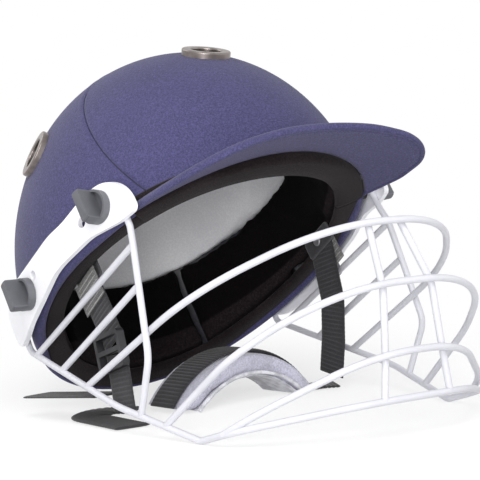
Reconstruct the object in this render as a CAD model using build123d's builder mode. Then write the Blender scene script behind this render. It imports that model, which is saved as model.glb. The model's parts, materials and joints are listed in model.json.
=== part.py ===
from build123d import *
from math import asin, atan2, cos, degrees, hypot, radians, sin, sqrt
import os

# Cricket helmet with a wire face guard, in millimetres.
# Pieces are drawn as worn: X to the wearer's left, Y to the back of the head, Z up from the rim.
# Each is then laid back so that the nape and the guard's lower corners stand on the ground.

# Dome, measured over the cloth
half_width = 112.0
dome_radius = 133.0
crown_bend = 100.0
dome_height = 16.3
side_flat = 8.0
cover_thickness = 1.6
shell_wall = 3.6
layer_gap = 0.15
seat_gap = 0.05
hole_clearance = 0.2
seam_ahead = 93.0
seam_lean = 21.3
seam_gap = 0.5
cut_overrun = 30.0

# Rim, seen from the side: an arc through three heights
rim_front_height = -4.0
rim_side_height = 2.0
rim_nape_height = -12.0
binding_wall = 1.2
binding_depth = 9.0
binding_split = 80.0

# Peak: an arched board that slopes forward
peak_height = 43.6
peak_arch_radius = 252.0
peak_slope = 0.304
peak_board_wall = 2.4
peak_cloth_wall = 1.0
piping_width = 3.4
piping_wall = 5.2
peak_seat_gap = 0.3
peak_back_share = 0.50
peak_edge_shares = ((0.812, 0.52), (0.838, 0.86), (0.795, 1.10), (0.62, 1.265), (0.30, 1.305))
peak_edge_bends = (60.0, 70.0, 60.0, 90.0)

# Eyelets
eyelet_hole = 10.0
eyelet_flange = 16.0
eyelet_rise = 3.2
eyelet_round = 1.05
eyelet_lap = 1.05
eyelet_barrel_wall = 1.2
eyelet_washer_wall = 1.2
eyelet_front_angle = 47.8
eyelet_side_share = 0.77
eyelet_side_angle = 1.4

# Lining
liner_wall = 9.0
liner_gap = 0.4
liner_bottom = 58.0
pad_wall = 15.0
pad_bottom = 3.0
pad_gap = 0.5
strap_recess = (-14.0, 42.0)
strap_recess_top = 20.0
front_pad_half = 52.0
rear_pad_half = 46.0

# Side plates
plate_wall = 3.5
plate_clearance = 1.7
plate_front = 96.0
plate_bend_front = 25.0
plate_bend_rear = -36.0
plate_rear = -74.0
plate_tip_half = 98.5
plate_tail_half = 105.2
plate_bend_radius = 60.0
plate_height = 25.2
plate_upper_shares = ((-0.765, 1.03), (-0.25, 0.97), (0.396, 0.89), (0.604, 1.0), (0.982, 1.0))
plate_lower_shares = ((0.982, -0.262), (0.833, -0.23), (0.5625, 0.03), (0.146, 0.01), (-0.417, -0.33), (-0.765, -0.10))
plate_corner_bends = (13.0, 60.0, 60.0, 60.0, 25.0, 4.0, 20.0, 40.0, 60.0, 40.0, 13.0)

# Wing screws and their seats
screw_front = (70.0, 12.0)
screw_rear = (-20.0, 9.0)
screw_shank = 2.5
screw_length = 20.5
screw_reach = 24.0
screw_pocket = 22.0
screw_hole = 3.2
nut_bore_clearance = 0.05
nut_barrel = 4.2
nut_flange = 6.5
nut_wall = 2.2
nut_clearance = 0.2
spacer_radius = 6.5
spacer_clearance = 0.15
knob_radius = 10.5
knob_height = 15.0
knob_skirt = 5.0
knob_lift = 0.35
grip_wall = 5.8
knob_ring_wall = 1.5
pocket_floor = 1.8
knob_round = 1.2
guard_tilt = 3.0
spare_front = (-16.3, 0.5)
spare_rear = (12.7, 5.6)

# Guard: shares of the half width, the dome radius and the guard's depth
guard_depth = 173.0
wire_radius = 2.1
weld_gap = 0.08
front_crossing = 4.7
guard_corner_share = (0.85, 0.451, 0.838)
side_knee_share = (0.969, 0.105, 0.543)
bottom_front_shares = ((0.8375, 0.677, 0.902), (0.366, 1.041, 1.006))
top_front_shares = ((0.868, 0.835, 0.441), (0.384, 1.357, 0.476))
middle_front_shares = ((0.8125, 0.805, 0.694), (0.518, 1.316, 0.691))
lower_front_shares = ((0.770, 0.774, 0.890), (0.295, 1.178, 0.889))
top_root_share = -0.105
middle_root_share = 0.308
lower_root_share = 0.60
upright_bend_share = (0.887, 0.5985, 0.127)
upright_cross_share = 0.487
upright_knee_share = 0.509
upright_foot_share = 0.207
upper_brace_root_share = -0.474
lower_brace_root_share = -0.286
lower_brace_tip_share = 0.266
front_upright_shares = (0.107, 0.161, 0.191, 0.218)
side_tail_ahead = -66.0
side_tail_height = 7.0
side_bend_ahead = -69.5
side_bend_height = -6.0
upright_top_ahead = 80.5
upright_top_height = 7.0
corner_bend = 12.0
side_knee_bend = 60.0
tail_bend = 8.0
bottom_bends = (48.0, 70.0)
top_bends = (130.0, 80.0)
middle_bends = (89.0, 80.0)
lower_bends = (80.0, 70.0)
upright_neck_height = -9.5
upright_bends = (16.0, 25.0, 18.0)
front_upright_bend = 20.0

# Chin strap and cup
web_width = 25.0
web_wall = 1.8
web_gap = 0.4
anchor_length = 30.0
anchor_height = 14.0
anchor_wall = 2.2
rivet_radius = 3.5
rivet_shank = 1.7
rivet_wall = 1.4
rivet_round = 0.7
anchor_round = 2.5
right_anchor_place = (5.5, 2.0)
left_anchor_place = (24.0, 2.0)
right_web_places = ((5.5, 8.0), (7.0, -27.0), (9.5, -40.0))
lock_entry_share = 0.3
lock_exit_share = 0.6
left_web_places = ((25.0, 8.0), (9.0, -36.0), (-8.0, -58.0), (-25.0, -75.5))
left_web_bend = 22.0
right_web_bend = 40.0
lock_length = 24.0
lock_width = 30.0
lock_wall = 5.0
lock_bar = 3.0
lock_lean = 8.0
tongue_run = 11.0
tongue_drop = 22.0
tail_places = ((-92.0, -27.3), (-103.0, -84.0))
tail_heights = (18.0, 13.0)
tail_round = 3.6
floor_gap = 0.3
ribbed_wall = 2.2
loop_places = ((-91.0, -6.0), (-90.0, -52.0), (-68.0, -66.0), (-53.7, -52.2))
loop_bends = (20.0, 14.0)
left_floor_places = ((98.0, -36.0), (86.0, -41.0), (73.2, -41.0))
left_floor_bend = 14.0
cup_length = 118.0
cup_depth = 46.0
cup_rise = 33.0
cup_wall = 14.0
cup_centre = 12.5
cup_ahead = -40.0
cup_turn = 4.0
cup_round = 4.0
backing_wall = 1.6
halving_steps = 40

os.makedirs("parts", exist_ok=True)


def at(side, ahead, up):
    """A worn point from its distance to the wearer's left, ahead and above the rim."""
    return (side, -ahead, up)


def both_sides(solid):
    """A solid and its mirror image."""
    return [solid, mirror(solid, about=Plane.YZ, mode=Mode.PRIVATE)]


def share_point(shares, side=-1):
    """A guard point from shares of the half width, the dome radius and the guard's depth."""
    return at(side * shares[0] * half_width, shares[1] * dome_radius, -shares[2] * guard_depth)


def between(first, last, share):
    """The point at a share of the way from one point to another."""
    return tuple(a + (b - a) * share for a, b in zip(first, last))


def at_ahead(first, last, ahead):
    """The point on a line at a distance ahead of the ears."""
    return between(first, last, (-ahead - first[1]) / (last[1] - first[1]))


def at_height(first, last, height):
    """The point on a line at a height over the rim."""
    return between(first, last, (height - first[2]) / (last[2] - first[2]))


def bent_corner(first, corner, last, bend):
    """The middle of the arc that rounds a corner between two straight runs."""
    back = (Vector(*first) - Vector(*corner)).normalized()
    on = (Vector(*last) - Vector(*corner)).normalized()
    half = radians(back.get_angle(on)) / 2
    toward = (back + on).normalized()
    return tuple(Vector(*corner) + toward * bend * (1 / sin(half) - 1))


# Standing pose: the guard's corner and the nape touch the ground
guard_corner = share_point(guard_corner_share)
bend_middle = bent_corner(share_point(side_knee_share), guard_corner, share_point(bottom_front_shares[0]), corner_bend)
binding_reach = binding_wall + layer_gap
nape_drop = dome_height - rim_nape_height + binding_reach
nape_point = at(0, -sqrt((dome_radius + binding_reach) ** 2 - nape_drop**2), rim_nape_height - binding_reach)
corner_run = nape_point[1] - bend_middle[1]
corner_drop = nape_point[2] - bend_middle[2]
pitch = degrees(atan2(corner_drop, corner_run) + asin(wire_radius / hypot(corner_run, corner_drop)))


def standing_height(point):
    """Height of a worn point after the helmet is laid back, before it is set on the ground."""
    return -point[1] * sin(radians(pitch)) + point[2] * cos(radians(pitch))


def standing_back(point):
    """Distance behind of a worn point after the helmet is laid back."""
    return point[1] * cos(radians(pitch)) + point[2] * sin(radians(pitch))


ground = standing_height(bend_middle) - wire_radius
lower_front = share_point(lower_front_shares[1])
front_reach = standing_back(lower_front) - wire_radius
rear_reach = dome_height * sin(radians(pitch)) + dome_radius
middle_back = (front_reach + rear_reach) / 2
stand = Location((0, -middle_back, -ground), (-pitch, 0, 0))


def ground_place(side, ahead):
    """Ground coordinates of a point given by its side and its distance ahead along the rim."""
    height = (ground + ahead * -sin(radians(pitch))) / cos(radians(pitch))
    return (side, standing_back(at(side, ahead, height)) - middle_back)


pieces = {}


def keep(name, solid):
    """Hold a piece drawn as worn under its name, laid back on the ground."""
    pieces[name] = solid.moved(stand)


def keep_pair(name, solid):
    """Hold a right-hand piece and its mirror image."""
    keep(name + "_right", solid)
    keep(name + "_left", mirror(solid, about=Plane.YZ))


# Dome surfaces


# Its section is an oval: one arc over the crown, and one tangent to it on each side
crown_drop = dome_radius - crown_bend
side_bend_radius = (half_width**2 + crown_drop**2 - crown_bend**2) / (2 * (half_width - crown_bend))
side_centre = half_width - side_bend_radius
oval_angle = degrees(atan2(crown_drop, -side_centre))


def dome(inset):
    """The solid inside the dome's surface drawn in by an inset, with a small flat on each side."""
    side = side_bend_radius - inset
    flat_angle = degrees(asin(side_flat / side))
    side_turn = oval_angle - flat_angle
    with BuildPart() as body:
        with BuildSketch(Plane.XZ):
            with BuildLine():
                crown = (0, dome_height - crown_drop)
                CenterArc(crown, crown_bend - inset, oval_angle - 180, 180 - 2 * oval_angle)
                right = CenterArc((side_centre, dome_height), side, -oval_angle, side_turn)
                left = CenterArc((-side_centre, dome_height), side, flat_angle - 180, side_turn)
                Polyline(right @ 1, ((right @ 1).X, dome_height), ((left @ 0).X, dome_height), left @ 0)
            make_face()
        revolve(axis=Axis((0, 0, dome_height), (1, 0, 0)))
    return body.part


def below_rim(shift):
    """Everything below the rim line raised by a shift, as wide as the helmet."""
    reach = dome_radius + cut_overrun
    with BuildPart() as body:
        with BuildSketch(Plane.YZ):
            with BuildLine():
                front = (-dome_radius, rim_front_height + shift)
                rear = (dome_radius, rim_nape_height + shift)
                ThreePointArc(front, (0, rim_side_height + shift), rear)
                Polyline(rear, (reach, rear[1]), (reach, -reach), (-reach, -reach), (-reach, front[1]), front)
            make_face()
        extrude(amount=half_width + cut_overrun, both=True)
    return body.part


def slab_above(height):
    """A block above a height, for keeping the top of a dome."""
    span = 2 * (dome_radius + cut_overrun)
    with BuildPart() as body:
        with BuildSketch(Plane.XY.offset(height)):
            Rectangle(span, span)
        extrude(amount=span)
    return body.part


def half_space_ahead(plane):
    """A block on the side that a plane's normal points to."""
    span = 2 * (dome_radius + cut_overrun)
    with BuildPart() as body:
        with BuildSketch(plane):
            Rectangle(2 * span, 2 * span)
        extrude(amount=2 * span)
    return body.part


cover_inset = cover_thickness + layer_gap
shell_inset = cover_inset + shell_wall
lining_inset = shell_inset + liner_gap
pad_inset = shell_inset + binding_wall + 2 * layer_gap
web_side = half_width - pad_inset - pad_wall - web_gap - web_wall / 2


def eyelet_planes():
    """Planes on the dome's surface, square to it, at the three eyelets."""
    front = radians(eyelet_front_angle)
    ahead = (0.0, -sin(front), cos(front))
    planes = [Plane(origin=Vector(*ahead) * dome_radius + Vector(0, 0, dome_height), z_dir=ahead)]
    across = eyelet_side_share * half_width
    from_axis = sqrt(side_bend_radius**2 - (across - side_centre) ** 2)
    turn = radians(eyelet_side_angle)
    for hand in (-1, 1):
        place = (hand * across, -from_axis * sin(turn), from_axis * cos(turn) + dome_height)
        facing = (hand * (across - side_centre), -from_axis * sin(turn), from_axis * cos(turn))
        planes.append(Plane(origin=place, z_dir=facing))
    return planes


eyelets = eyelet_planes()
barrel_radius = eyelet_hole + eyelet_barrel_wall
barrel_depth = shell_inset + eyelet_washer_wall

# Side plate outline in plan, and the screws' planes

plate_flat = half_width + plate_clearance + plate_wall


def plate_outside(ahead):
    """Distance from the middle to the plate's outer face, ahead of the ears."""
    if ahead > plate_bend_front:
        share = (ahead - plate_bend_front) / (plate_front - plate_bend_front)
        return plate_flat + (plate_tip_half - plate_flat) * share
    if ahead < plate_bend_rear:
        share = (ahead - plate_bend_rear) / (plate_rear - plate_bend_rear)
        return plate_flat + (plate_tail_half - plate_flat) * share
    return plate_flat


plate_front_slope = (plate_flat - plate_tip_half) / (plate_front - plate_bend_front)
plate_rear_slope = (plate_flat - plate_tail_half) / (plate_bend_rear - plate_rear)


def weld_seat(ahead, slope):
    """Distance from the middle to a wire's axis where it is welded inside the plate."""
    lean = sqrt(1 + slope**2)
    return plate_outside(ahead) - (plate_wall + wire_radius + weld_gap) * lean


front_screw_plane = Plane(
    origin=at(-plate_outside(screw_front[0]), *screw_front), z_dir=(-1, -plate_front_slope, 0), x_dir=(0, 0, 1)
)
rear_screw_plane = Plane(origin=at(-plate_flat, *screw_rear), z_dir=(-1, 0, 0), x_dir=(0, 0, 1))
screw_planes = {"front": front_screw_plane, "rear": rear_screw_plane}


def screw_rod(radius, plane, low, high):
    """A round rod on a screw's axis, between two depths below the plate's outer face."""
    with BuildPart() as rod:
        with BuildSketch(plane.offset(-high)):
            Circle(radius)
        extrude(amount=high - low)
    return rod.part


# Shell, cover and binding


def side_holes(radius, depth):
    """Rods at the four screws, from the plates' outer faces to a depth."""
    rods = [screw_rod(radius, plane, 0, depth) for plane in screw_planes.values()]
    return rods + [mirror(rod, about=Plane.YZ, mode=Mode.PRIVATE) for rod in rods]


def layer(outer_inset, inner_inset, trim, eyelet_radius, hole_radius):
    """A dome layer cut at the rim, with round holes for eyelets and screws."""
    with BuildPart() as body:
        add(dome(outer_inset))
        add(dome(inner_inset), mode=Mode.SUBTRACT)
        add(below_rim(trim), mode=Mode.SUBTRACT)
        for plane in eyelets:
            with BuildSketch(plane.offset(-dome_radius / 2)):
                Circle(eyelet_radius)
            extrude(amount=dome_radius, mode=Mode.SUBTRACT)
        for rod in side_holes(hole_radius, screw_reach):
            add(rod, mode=Mode.SUBTRACT)
    return body.part


seam_plane = Plane(
    origin=at(0, seam_ahead, 0),
    x_dir=(1, 0, 0),
    z_dir=(0, -cos(radians(seam_lean)), sin(radians(seam_lean))),
)

nut_hole = nut_barrel + nut_clearance
cover = layer(0, cover_thickness, 0, barrel_radius + hole_clearance, nut_hole)
with BuildPart() as cloth_cover_front:
    add(cover)
    add(half_space_ahead(seam_plane.offset(seam_gap / 2)), mode=Mode.INTERSECT)
keep("cloth_cover_front", cloth_cover_front.part)

with BuildPart() as cloth_cover_rear:
    add(cover)
    add(half_space_ahead(seam_plane.offset(-seam_gap / 2)), mode=Mode.SUBTRACT)
keep("cloth_cover_rear", cloth_cover_rear.part)

keep("hard_shell", layer(cover_inset, shell_inset, 0, barrel_radius + hole_clearance, nut_hole))

binding_plane = Plane(origin=at(0, binding_split, 0), x_dir=(1, 0, 0), z_dir=(0, -1, 0))


def binding():
    """A folded strip round the rim: outside leg, foot and inside leg."""
    with BuildPart() as body:
        add(dome(-binding_wall - layer_gap))
        add(dome(shell_inset + layer_gap + binding_wall), mode=Mode.SUBTRACT)
        add(below_rim(-binding_wall - layer_gap), mode=Mode.SUBTRACT)
        add(below_rim(binding_depth), mode=Mode.INTERSECT)
        with BuildPart(mode=Mode.PRIVATE) as held:
            add(dome(-layer_gap))
            add(dome(shell_inset + layer_gap), mode=Mode.SUBTRACT)
            add(below_rim(-layer_gap), mode=Mode.SUBTRACT)
        add(held.part, mode=Mode.SUBTRACT)
        for rod in side_holes(nut_flange + layer_gap, screw_reach):
            add(rod, mode=Mode.SUBTRACT)
    return body.part


strip = binding()
with BuildPart() as rim_felt:
    add(strip)
    add(half_space_ahead(binding_plane.offset(layer_gap)), mode=Mode.INTERSECT)
keep("rim_felt", rim_felt.part)
with BuildPart() as rim_roll:
    add(strip)
    add(half_space_ahead(binding_plane), mode=Mode.SUBTRACT)
keep("rim_roll", rim_roll.part)

# Peak


def peak_layer(low, high):
    """The arched slope between two heights over the board's middle, before its outline is cut."""
    rise = peak_height - peak_arch_radius
    reach = dome_radius * 2
    with BuildPart() as body:
        with BuildSketch(Plane.XZ):
            with Locations((0, rise)):
                Circle(peak_arch_radius + high)
                Circle(peak_arch_radius + low, mode=Mode.SUBTRACT)
                Rectangle(4 * peak_arch_radius, 2 * peak_arch_radius, align=(Align.CENTER, Align.MAX), mode=Mode.SUBTRACT)
        extrude(amount=reach, dir=(0, -1, -peak_slope))
    return body.part


def peak_outline(inset):
    """The peak's edge in plan, drawn in by an inset, from the ears forward."""
    half = [(side * half_width, -ahead * dome_radius) for side, ahead in peak_edge_shares]
    points = [(-x, y) for x, y in half] + [(x, y) for x, y in reversed(half)]
    bends = list(peak_edge_bends)
    with BuildSketch() as outline:
        with BuildLine():
            edge = FilletPolyline(*points, radius=bends + bends[::-1])
            Line(edge @ 0, edge @ 1)
        make_face()
        if inset:
            offset(amount=-inset)
    return outline.sketch


def peak_piece(low, high, inset, hollow=None):
    """A part of the peak between two heights and inside an outline, fitted to the dome."""
    with BuildPart() as body:
        add(peak_layer(low, high))
        with BuildPart(mode=Mode.PRIVATE) as column:
            with BuildSketch(Plane.XY.offset(-dome_radius)):
                add(peak_outline(inset))
                if hollow is not None:
                    add(peak_outline(hollow), mode=Mode.SUBTRACT)
            extrude(amount=2 * dome_radius)
        add(column.part, mode=Mode.INTERSECT)
        add(dome(-peak_seat_gap - binding_wall), mode=Mode.SUBTRACT)
        add(half_space_ahead(Plane(origin=at(0, peak_back_share * dome_radius, 0), x_dir=(1, 0, 0), z_dir=(0, 1, 0))),
            mode=Mode.SUBTRACT)
    return body.part


half_board = peak_board_wall / 2
cloth_low = half_board + layer_gap
keep("peak_board", peak_piece(-half_board, half_board, piping_width))
keep("peak_cloth_top", peak_piece(cloth_low, cloth_low + peak_cloth_wall, piping_width))
keep("peak_cloth_under", peak_piece(-cloth_low - peak_cloth_wall, -cloth_low, piping_width))
keep("peak_piping", peak_piece(-piping_wall / 2, piping_wall / 2, 0, piping_width - layer_gap))

# Eyelets


def eyelet(plane):
    """A wide flange seated on the dome, with a barrel through cover and shell."""
    with BuildPart() as body:
        with BuildSketch(plane.offset(-eyelet_rise)):
            Circle(eyelet_flange)
            Circle(eyelet_hole, mode=Mode.SUBTRACT)
        extrude(amount=eyelet_rise * 2)
        fillet(body.faces().sort_by(Axis(plane.origin, plane.z_dir))[-1].edges(), eyelet_round)
        add(dome(-seat_gap), mode=Mode.SUBTRACT)
        with BuildSketch(plane.offset(-barrel_depth)):
            Circle(barrel_radius)
            Circle(eyelet_hole, mode=Mode.SUBTRACT)
        extrude(amount=barrel_depth + eyelet_lap)
    return body.part


def eyelet_washer(plane):
    """A ring round the barrel, seated inside the shell."""
    with BuildPart() as body:
        with BuildSketch(plane.offset(-barrel_depth)):
            Circle(eyelet_flange)
            Circle(barrel_radius + seat_gap, mode=Mode.SUBTRACT)
        extrude(amount=barrel_depth)
        add(dome(shell_inset + seat_gap), mode=Mode.INTERSECT)
    return body.part


for name, plane in zip(("front", "right", "left"), eyelets):
    keep("eyelet_" + name, eyelet(plane))
keep("eyelet_washers", Compound([eyelet_washer(plane) for plane in eyelets]))

# Lining


def upright_block(corners):
    """A tall block over an outline in plan."""
    with BuildPart() as body:
        with BuildSketch(Plane.XY.offset(-dome_radius)):
            with BuildLine():
                Polyline(*corners, close=True)
            make_face()
        extrude(amount=3 * dome_radius)
    return body.part


def foam_pad(corners):
    """The part of the padded band above the rim that stands over an outline in plan."""
    with BuildPart() as body:
        add(upright_block(corners))
        add(slab_above(liner_bottom - layer_gap), mode=Mode.SUBTRACT)
        add(below_rim(pad_bottom), mode=Mode.SUBTRACT)
        add(dome(pad_inset), mode=Mode.INTERSECT)
        add(dome(pad_inset + pad_wall), mode=Mode.SUBTRACT)
        for rod in side_holes(nut_flange + layer_gap, screw_pocket):
            add(rod, mode=Mode.SUBTRACT)
        with BuildSketch(Plane.XY.offset(-dome_radius)):
            with Locations((0, -(strap_recess[0] + strap_recess[1]) / 2)):
                Rectangle(2 * (web_side + web_wall / 2 + web_gap), strap_recess[1] - strap_recess[0])
        extrude(amount=dome_radius + strap_recess_top, mode=Mode.SUBTRACT)
    return body.part


reach = dome_radius + cut_overrun
front_wide = 2 * front_pad_half
rear_wide = 2 * rear_pad_half
keep("pad_front", foam_pad([(0, 0), (-front_wide, -reach), (front_wide, -reach)]))
keep("pad_rear", foam_pad([(0, 0), (-rear_wide, reach), (rear_wide, reach)]))
side_front = [(-pad_gap, 0), (-front_wide - pad_gap, -reach), (-reach, -reach)]
side_rear = [(-reach, reach), (-rear_wide - pad_gap, reach)]
keep_pair("pad_side", foam_pad(side_front + side_rear))

with BuildPart() as crown_liner:
    add(slab_above(liner_bottom))
    add(dome(lining_inset), mode=Mode.INTERSECT)
    add(dome(lining_inset + liner_wall), mode=Mode.SUBTRACT)
    for plane in eyelets:
        with BuildSketch(plane.offset(-dome_radius / 2)):
            Circle(eyelet_flange + layer_gap)
        extrude(amount=dome_radius, mode=Mode.SUBTRACT)
keep("crown_liner", crown_liner.part)

# Side plates


def plate_blank():
    """The bowed strip in plan, as tall as the helmet."""
    outer = [
        (-plate_tip_half, -plate_front),
        (-plate_flat, -plate_bend_front),
        (-plate_flat, -plate_bend_rear),
        (-plate_tail_half, -plate_rear),
    ]
    with BuildPart() as body:
        with BuildSketch(Plane.XY.offset(-dome_radius)):
            with BuildLine():
                FilletPolyline(*outer, radius=plate_bend_radius)
                offset(amount=plate_wall, side=Side.RIGHT)
            make_face()
        extrude(amount=2 * dome_radius)
    return body.part


def plate_outline():
    """A block with the plate's outline seen from the side."""
    with BuildPart() as body:
        with BuildSketch(Plane.YZ.offset(-2 * half_width)):
            with BuildLine():
                shares = plate_upper_shares + plate_lower_shares
                outline = [(-ahead * plate_front, up * plate_height) for ahead, up in shares]
                FilletPolyline(*outline, radius=plate_corner_bends, close=True)
            make_face()
        extrude(amount=2 * half_width)
    return body.part


def rear_slot():
    """The curved slot that lets the plate tilt about its front screw."""
    run = screw_front[0] - screw_rear[0]
    rise = screw_rear[1] - screw_front[1]
    start = degrees(atan2(rise, run))
    with BuildPart() as body:
        with BuildSketch(Plane.YZ.offset(-2 * half_width)):
            with BuildLine() as path:
                CenterArc((-screw_front[0], screw_front[1]), hypot(run, rise), start, -guard_tilt)
            SlotArc(path.edge(), 2 * screw_hole)
        extrude(amount=half_width * 2)
    return body.part


def spare_hole(screw, step):
    """A rod through the plate beside a screw, square to the plate's face."""
    ahead = screw[0] + step[0]
    slope = plate_front_slope if ahead > plate_bend_front else 0
    plane = Plane(origin=at(-plate_outside(ahead), ahead, screw[1] + step[1]), z_dir=(-1, -slope, 0))
    return screw_rod(screw_hole, plane, -screw_hole, plate_wall + screw_hole)


with BuildPart() as side_plate:
    add(plate_blank())
    add(plate_outline(), mode=Mode.INTERSECT)
    add(screw_rod(screw_hole, front_screw_plane, -screw_hole, plate_wall + screw_hole), mode=Mode.SUBTRACT)
    add(rear_slot(), mode=Mode.SUBTRACT)
    add(spare_hole(screw_front, spare_front), mode=Mode.SUBTRACT)
    add(spare_hole(screw_rear, spare_rear), mode=Mode.SUBTRACT)
keep_pair("side_plate", side_plate.part)

# Wing screws, spacers and nuts


def wing_screw(plane):
    """A grip with two pockets beside a raised bar, on a round shank."""
    base = plane.offset(knob_lift)
    with BuildPart() as body:
        with BuildSketch(base):
            Circle(knob_radius)
        extrude(amount=knob_height)
        fillet(body.faces().sort_by(Axis(plane.origin, plane.z_dir))[-1].edges(), knob_round)
        with BuildSketch(base.offset(knob_skirt)):
            Circle(2 * knob_radius)
            Rectangle(4 * knob_radius, grip_wall, mode=Mode.SUBTRACT)
        extrude(amount=knob_height, mode=Mode.SUBTRACT)
        with BuildSketch(base.offset(pocket_floor)):
            Circle(knob_radius - knob_ring_wall)
            Rectangle(2 * knob_radius, grip_wall, mode=Mode.SUBTRACT)
        extrude(amount=knob_height, mode=Mode.SUBTRACT)
        with BuildSketch(plane.offset(-screw_length)):
            Circle(screw_shank)
        extrude(amount=screw_length + knob_lift)
    return body.part


def spacer(plane):
    """A collar between the plate and the dome, fitted to the dome."""
    with BuildPart() as body:
        with BuildSketch(plane.offset(-screw_reach)):
            Circle(spacer_radius)
            Circle(screw_hole, mode=Mode.SUBTRACT)
        extrude(amount=screw_reach - plate_wall - spacer_clearance)
        add(dome(-seat_gap), mode=Mode.SUBTRACT)
    return body.part


def nut(plane):
    """A flange seated inside the shell, with a tapped barrel through the wall."""
    bore = screw_shank + nut_bore_clearance
    with BuildPart() as body:
        with BuildSketch(plane.offset(-screw_reach)):
            Circle(nut_barrel)
            Circle(bore, mode=Mode.SUBTRACT)
        extrude(amount=screw_reach)
        add(dome(seat_gap), mode=Mode.INTERSECT)
        with BuildPart(mode=Mode.PRIVATE) as flange:
            with BuildSketch(plane.offset(-screw_reach)):
                Circle(nut_flange)
                Circle(bore, mode=Mode.SUBTRACT)
            extrude(amount=screw_reach)
            add(dome(shell_inset + layer_gap), mode=Mode.INTERSECT)
            add(dome(shell_inset + layer_gap + nut_wall), mode=Mode.SUBTRACT)
        add(flange.part)
        add(dome(shell_inset + layer_gap + 2 * nut_wall), mode=Mode.SUBTRACT)
    return body.part


for place, plane in screw_planes.items():
    keep_pair("wing_screw_" + place, wing_screw(plane))
keep("plate_spacers", Compound([s for p in screw_planes.values() for s in both_sides(spacer(p))]))
keep("shell_nuts", Compound([s for p in screw_planes.values() for s in both_sides(nut(p))]))

# Face guard


def wire(points, bends, radius=wire_radius):
    """A round wire along the points, bent by the given radii."""
    with BuildPart() as body:
        with BuildLine() as path:
            if bends:
                FilletPolyline(*points, radius=bends)
            else:
                Line(*points)
        line = path.wire()
        with BuildSketch(Plane(origin=line @ 0, z_dir=line % 0)):
            Circle(radius)
        sweep(path=line)
    return body.part


def coped(solid, *others):
    """A wire cut to seat on the wires that it is welded to."""
    with BuildPart() as body:
        add(solid)
        for other in others:
            add(other, mode=Mode.SUBTRACT)
    largest = body.solids().sort_by(SortBy.VOLUME)[-1]
    return Part(largest.wrapped)


def whole_bow(half):
    """A bow's points from the right-hand half."""
    return half + [(-x, y, z) for x, y, z in reversed(half)]


side_tail = at(-weld_seat(side_tail_ahead, plate_rear_slope), side_tail_ahead, side_tail_height)
side_bend = at(-weld_seat(side_bend_ahead, plate_rear_slope), side_bend_ahead, side_bend_height)
side_knee = share_point(side_knee_share)
bottom_half = [side_tail, side_bend, side_knee, guard_corner] + [share_point(s) for s in bottom_front_shares]
bottom_radii = [tail_bend, side_knee_bend, corner_bend, *bottom_bends]
bottom_points = whole_bow(bottom_half)
all_bottom_radii = bottom_radii + bottom_radii[::-1]
bottom_bar = wire(bottom_points, all_bottom_radii)
bottom_cutter = wire(bottom_points, all_bottom_radii, wire_radius + weld_gap)
keep("bottom_bar", bottom_bar)


def bow(root, front_shares, bends):
    """A bar that runs from one side bar round the front to the other."""
    points = whole_bow([root] + [share_point(s) for s in front_shares])
    radii = list(bends) + list(bends)[::-1]
    return wire(points, radii), points, radii


top_root = at_ahead(side_bend, side_knee, top_root_share * dome_radius)
middle_root = at_ahead(side_knee, guard_corner, middle_root_share * dome_radius)
lower_root = at_ahead(guard_corner, share_point(bottom_front_shares[0]), lower_root_share * dome_radius)
top_bar, top_points, top_radii = bow(top_root, top_front_shares, top_bends)
middle_bar, middle_points, middle_radii = bow(middle_root, middle_front_shares, middle_bends)
lower_bar, lower_points, lower_radii = bow(lower_root, lower_front_shares, lower_bends)
keep("top_bar", coped(top_bar, bottom_cutter))
keep("middle_bar", coped(middle_bar, bottom_cutter))
keep("lower_bar", coped(lower_bar, bottom_cutter))

crossing = 2 * (wire_radius + weld_gap)
upright_seat = weld_seat(upright_top_ahead, plate_front_slope)
upright_top = at(-upright_seat, upright_top_ahead, upright_top_height)
upright_bend = share_point(upright_bend_share)
cross = at_ahead(top_points[0], top_points[1], upright_cross_share * dome_radius)
upright_cross = (cross[0] - crossing, cross[1], cross[2])
upright_knee = at_height(upright_bend, upright_cross, -upright_knee_share * guard_depth)
upright_foot = at_ahead(side_knee, guard_corner, upright_foot_share * dome_radius)
upright_neck = (upright_top[0], upright_top[1], upright_neck_height)
upright_path = [upright_top, upright_neck, upright_bend, upright_knee, upright_foot]
side_upright = wire(upright_path, list(upright_bends))
upright_cutter = wire(upright_path, list(upright_bends), wire_radius + weld_gap)
keep_pair("side_upright", coped(side_upright, bottom_cutter))

upper_root = at_ahead(side_bend, side_knee, upper_brace_root_share * dome_radius)
keep_pair("upper_brace", coped(wire([upper_root, upright_bend], None), bottom_cutter, upright_cutter))
lower_root_brace = at_ahead(side_bend, side_knee, lower_brace_root_share * dome_radius)
lower_tip = at_height(upright_bend, upright_cross, -lower_brace_tip_share * guard_depth)
keep_pair("lower_brace", coped(wire([lower_root_brace, lower_tip], None), bottom_cutter, upright_cutter))


def bow_front(points, radii, side):
    """The point at a bow's front, at a distance to the side, from its bent centre line."""
    with BuildLine(mode=Mode.PRIVATE) as path:
        FilletPolyline(*points, radius=radii)
    line = path.wire()
    low, high = 0.0, 0.5
    for _ in range(halving_steps):
        share = (low + high) / 2
        if (line @ share).X < -side:
            low = share
        else:
            high = share
    return line @ low


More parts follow.
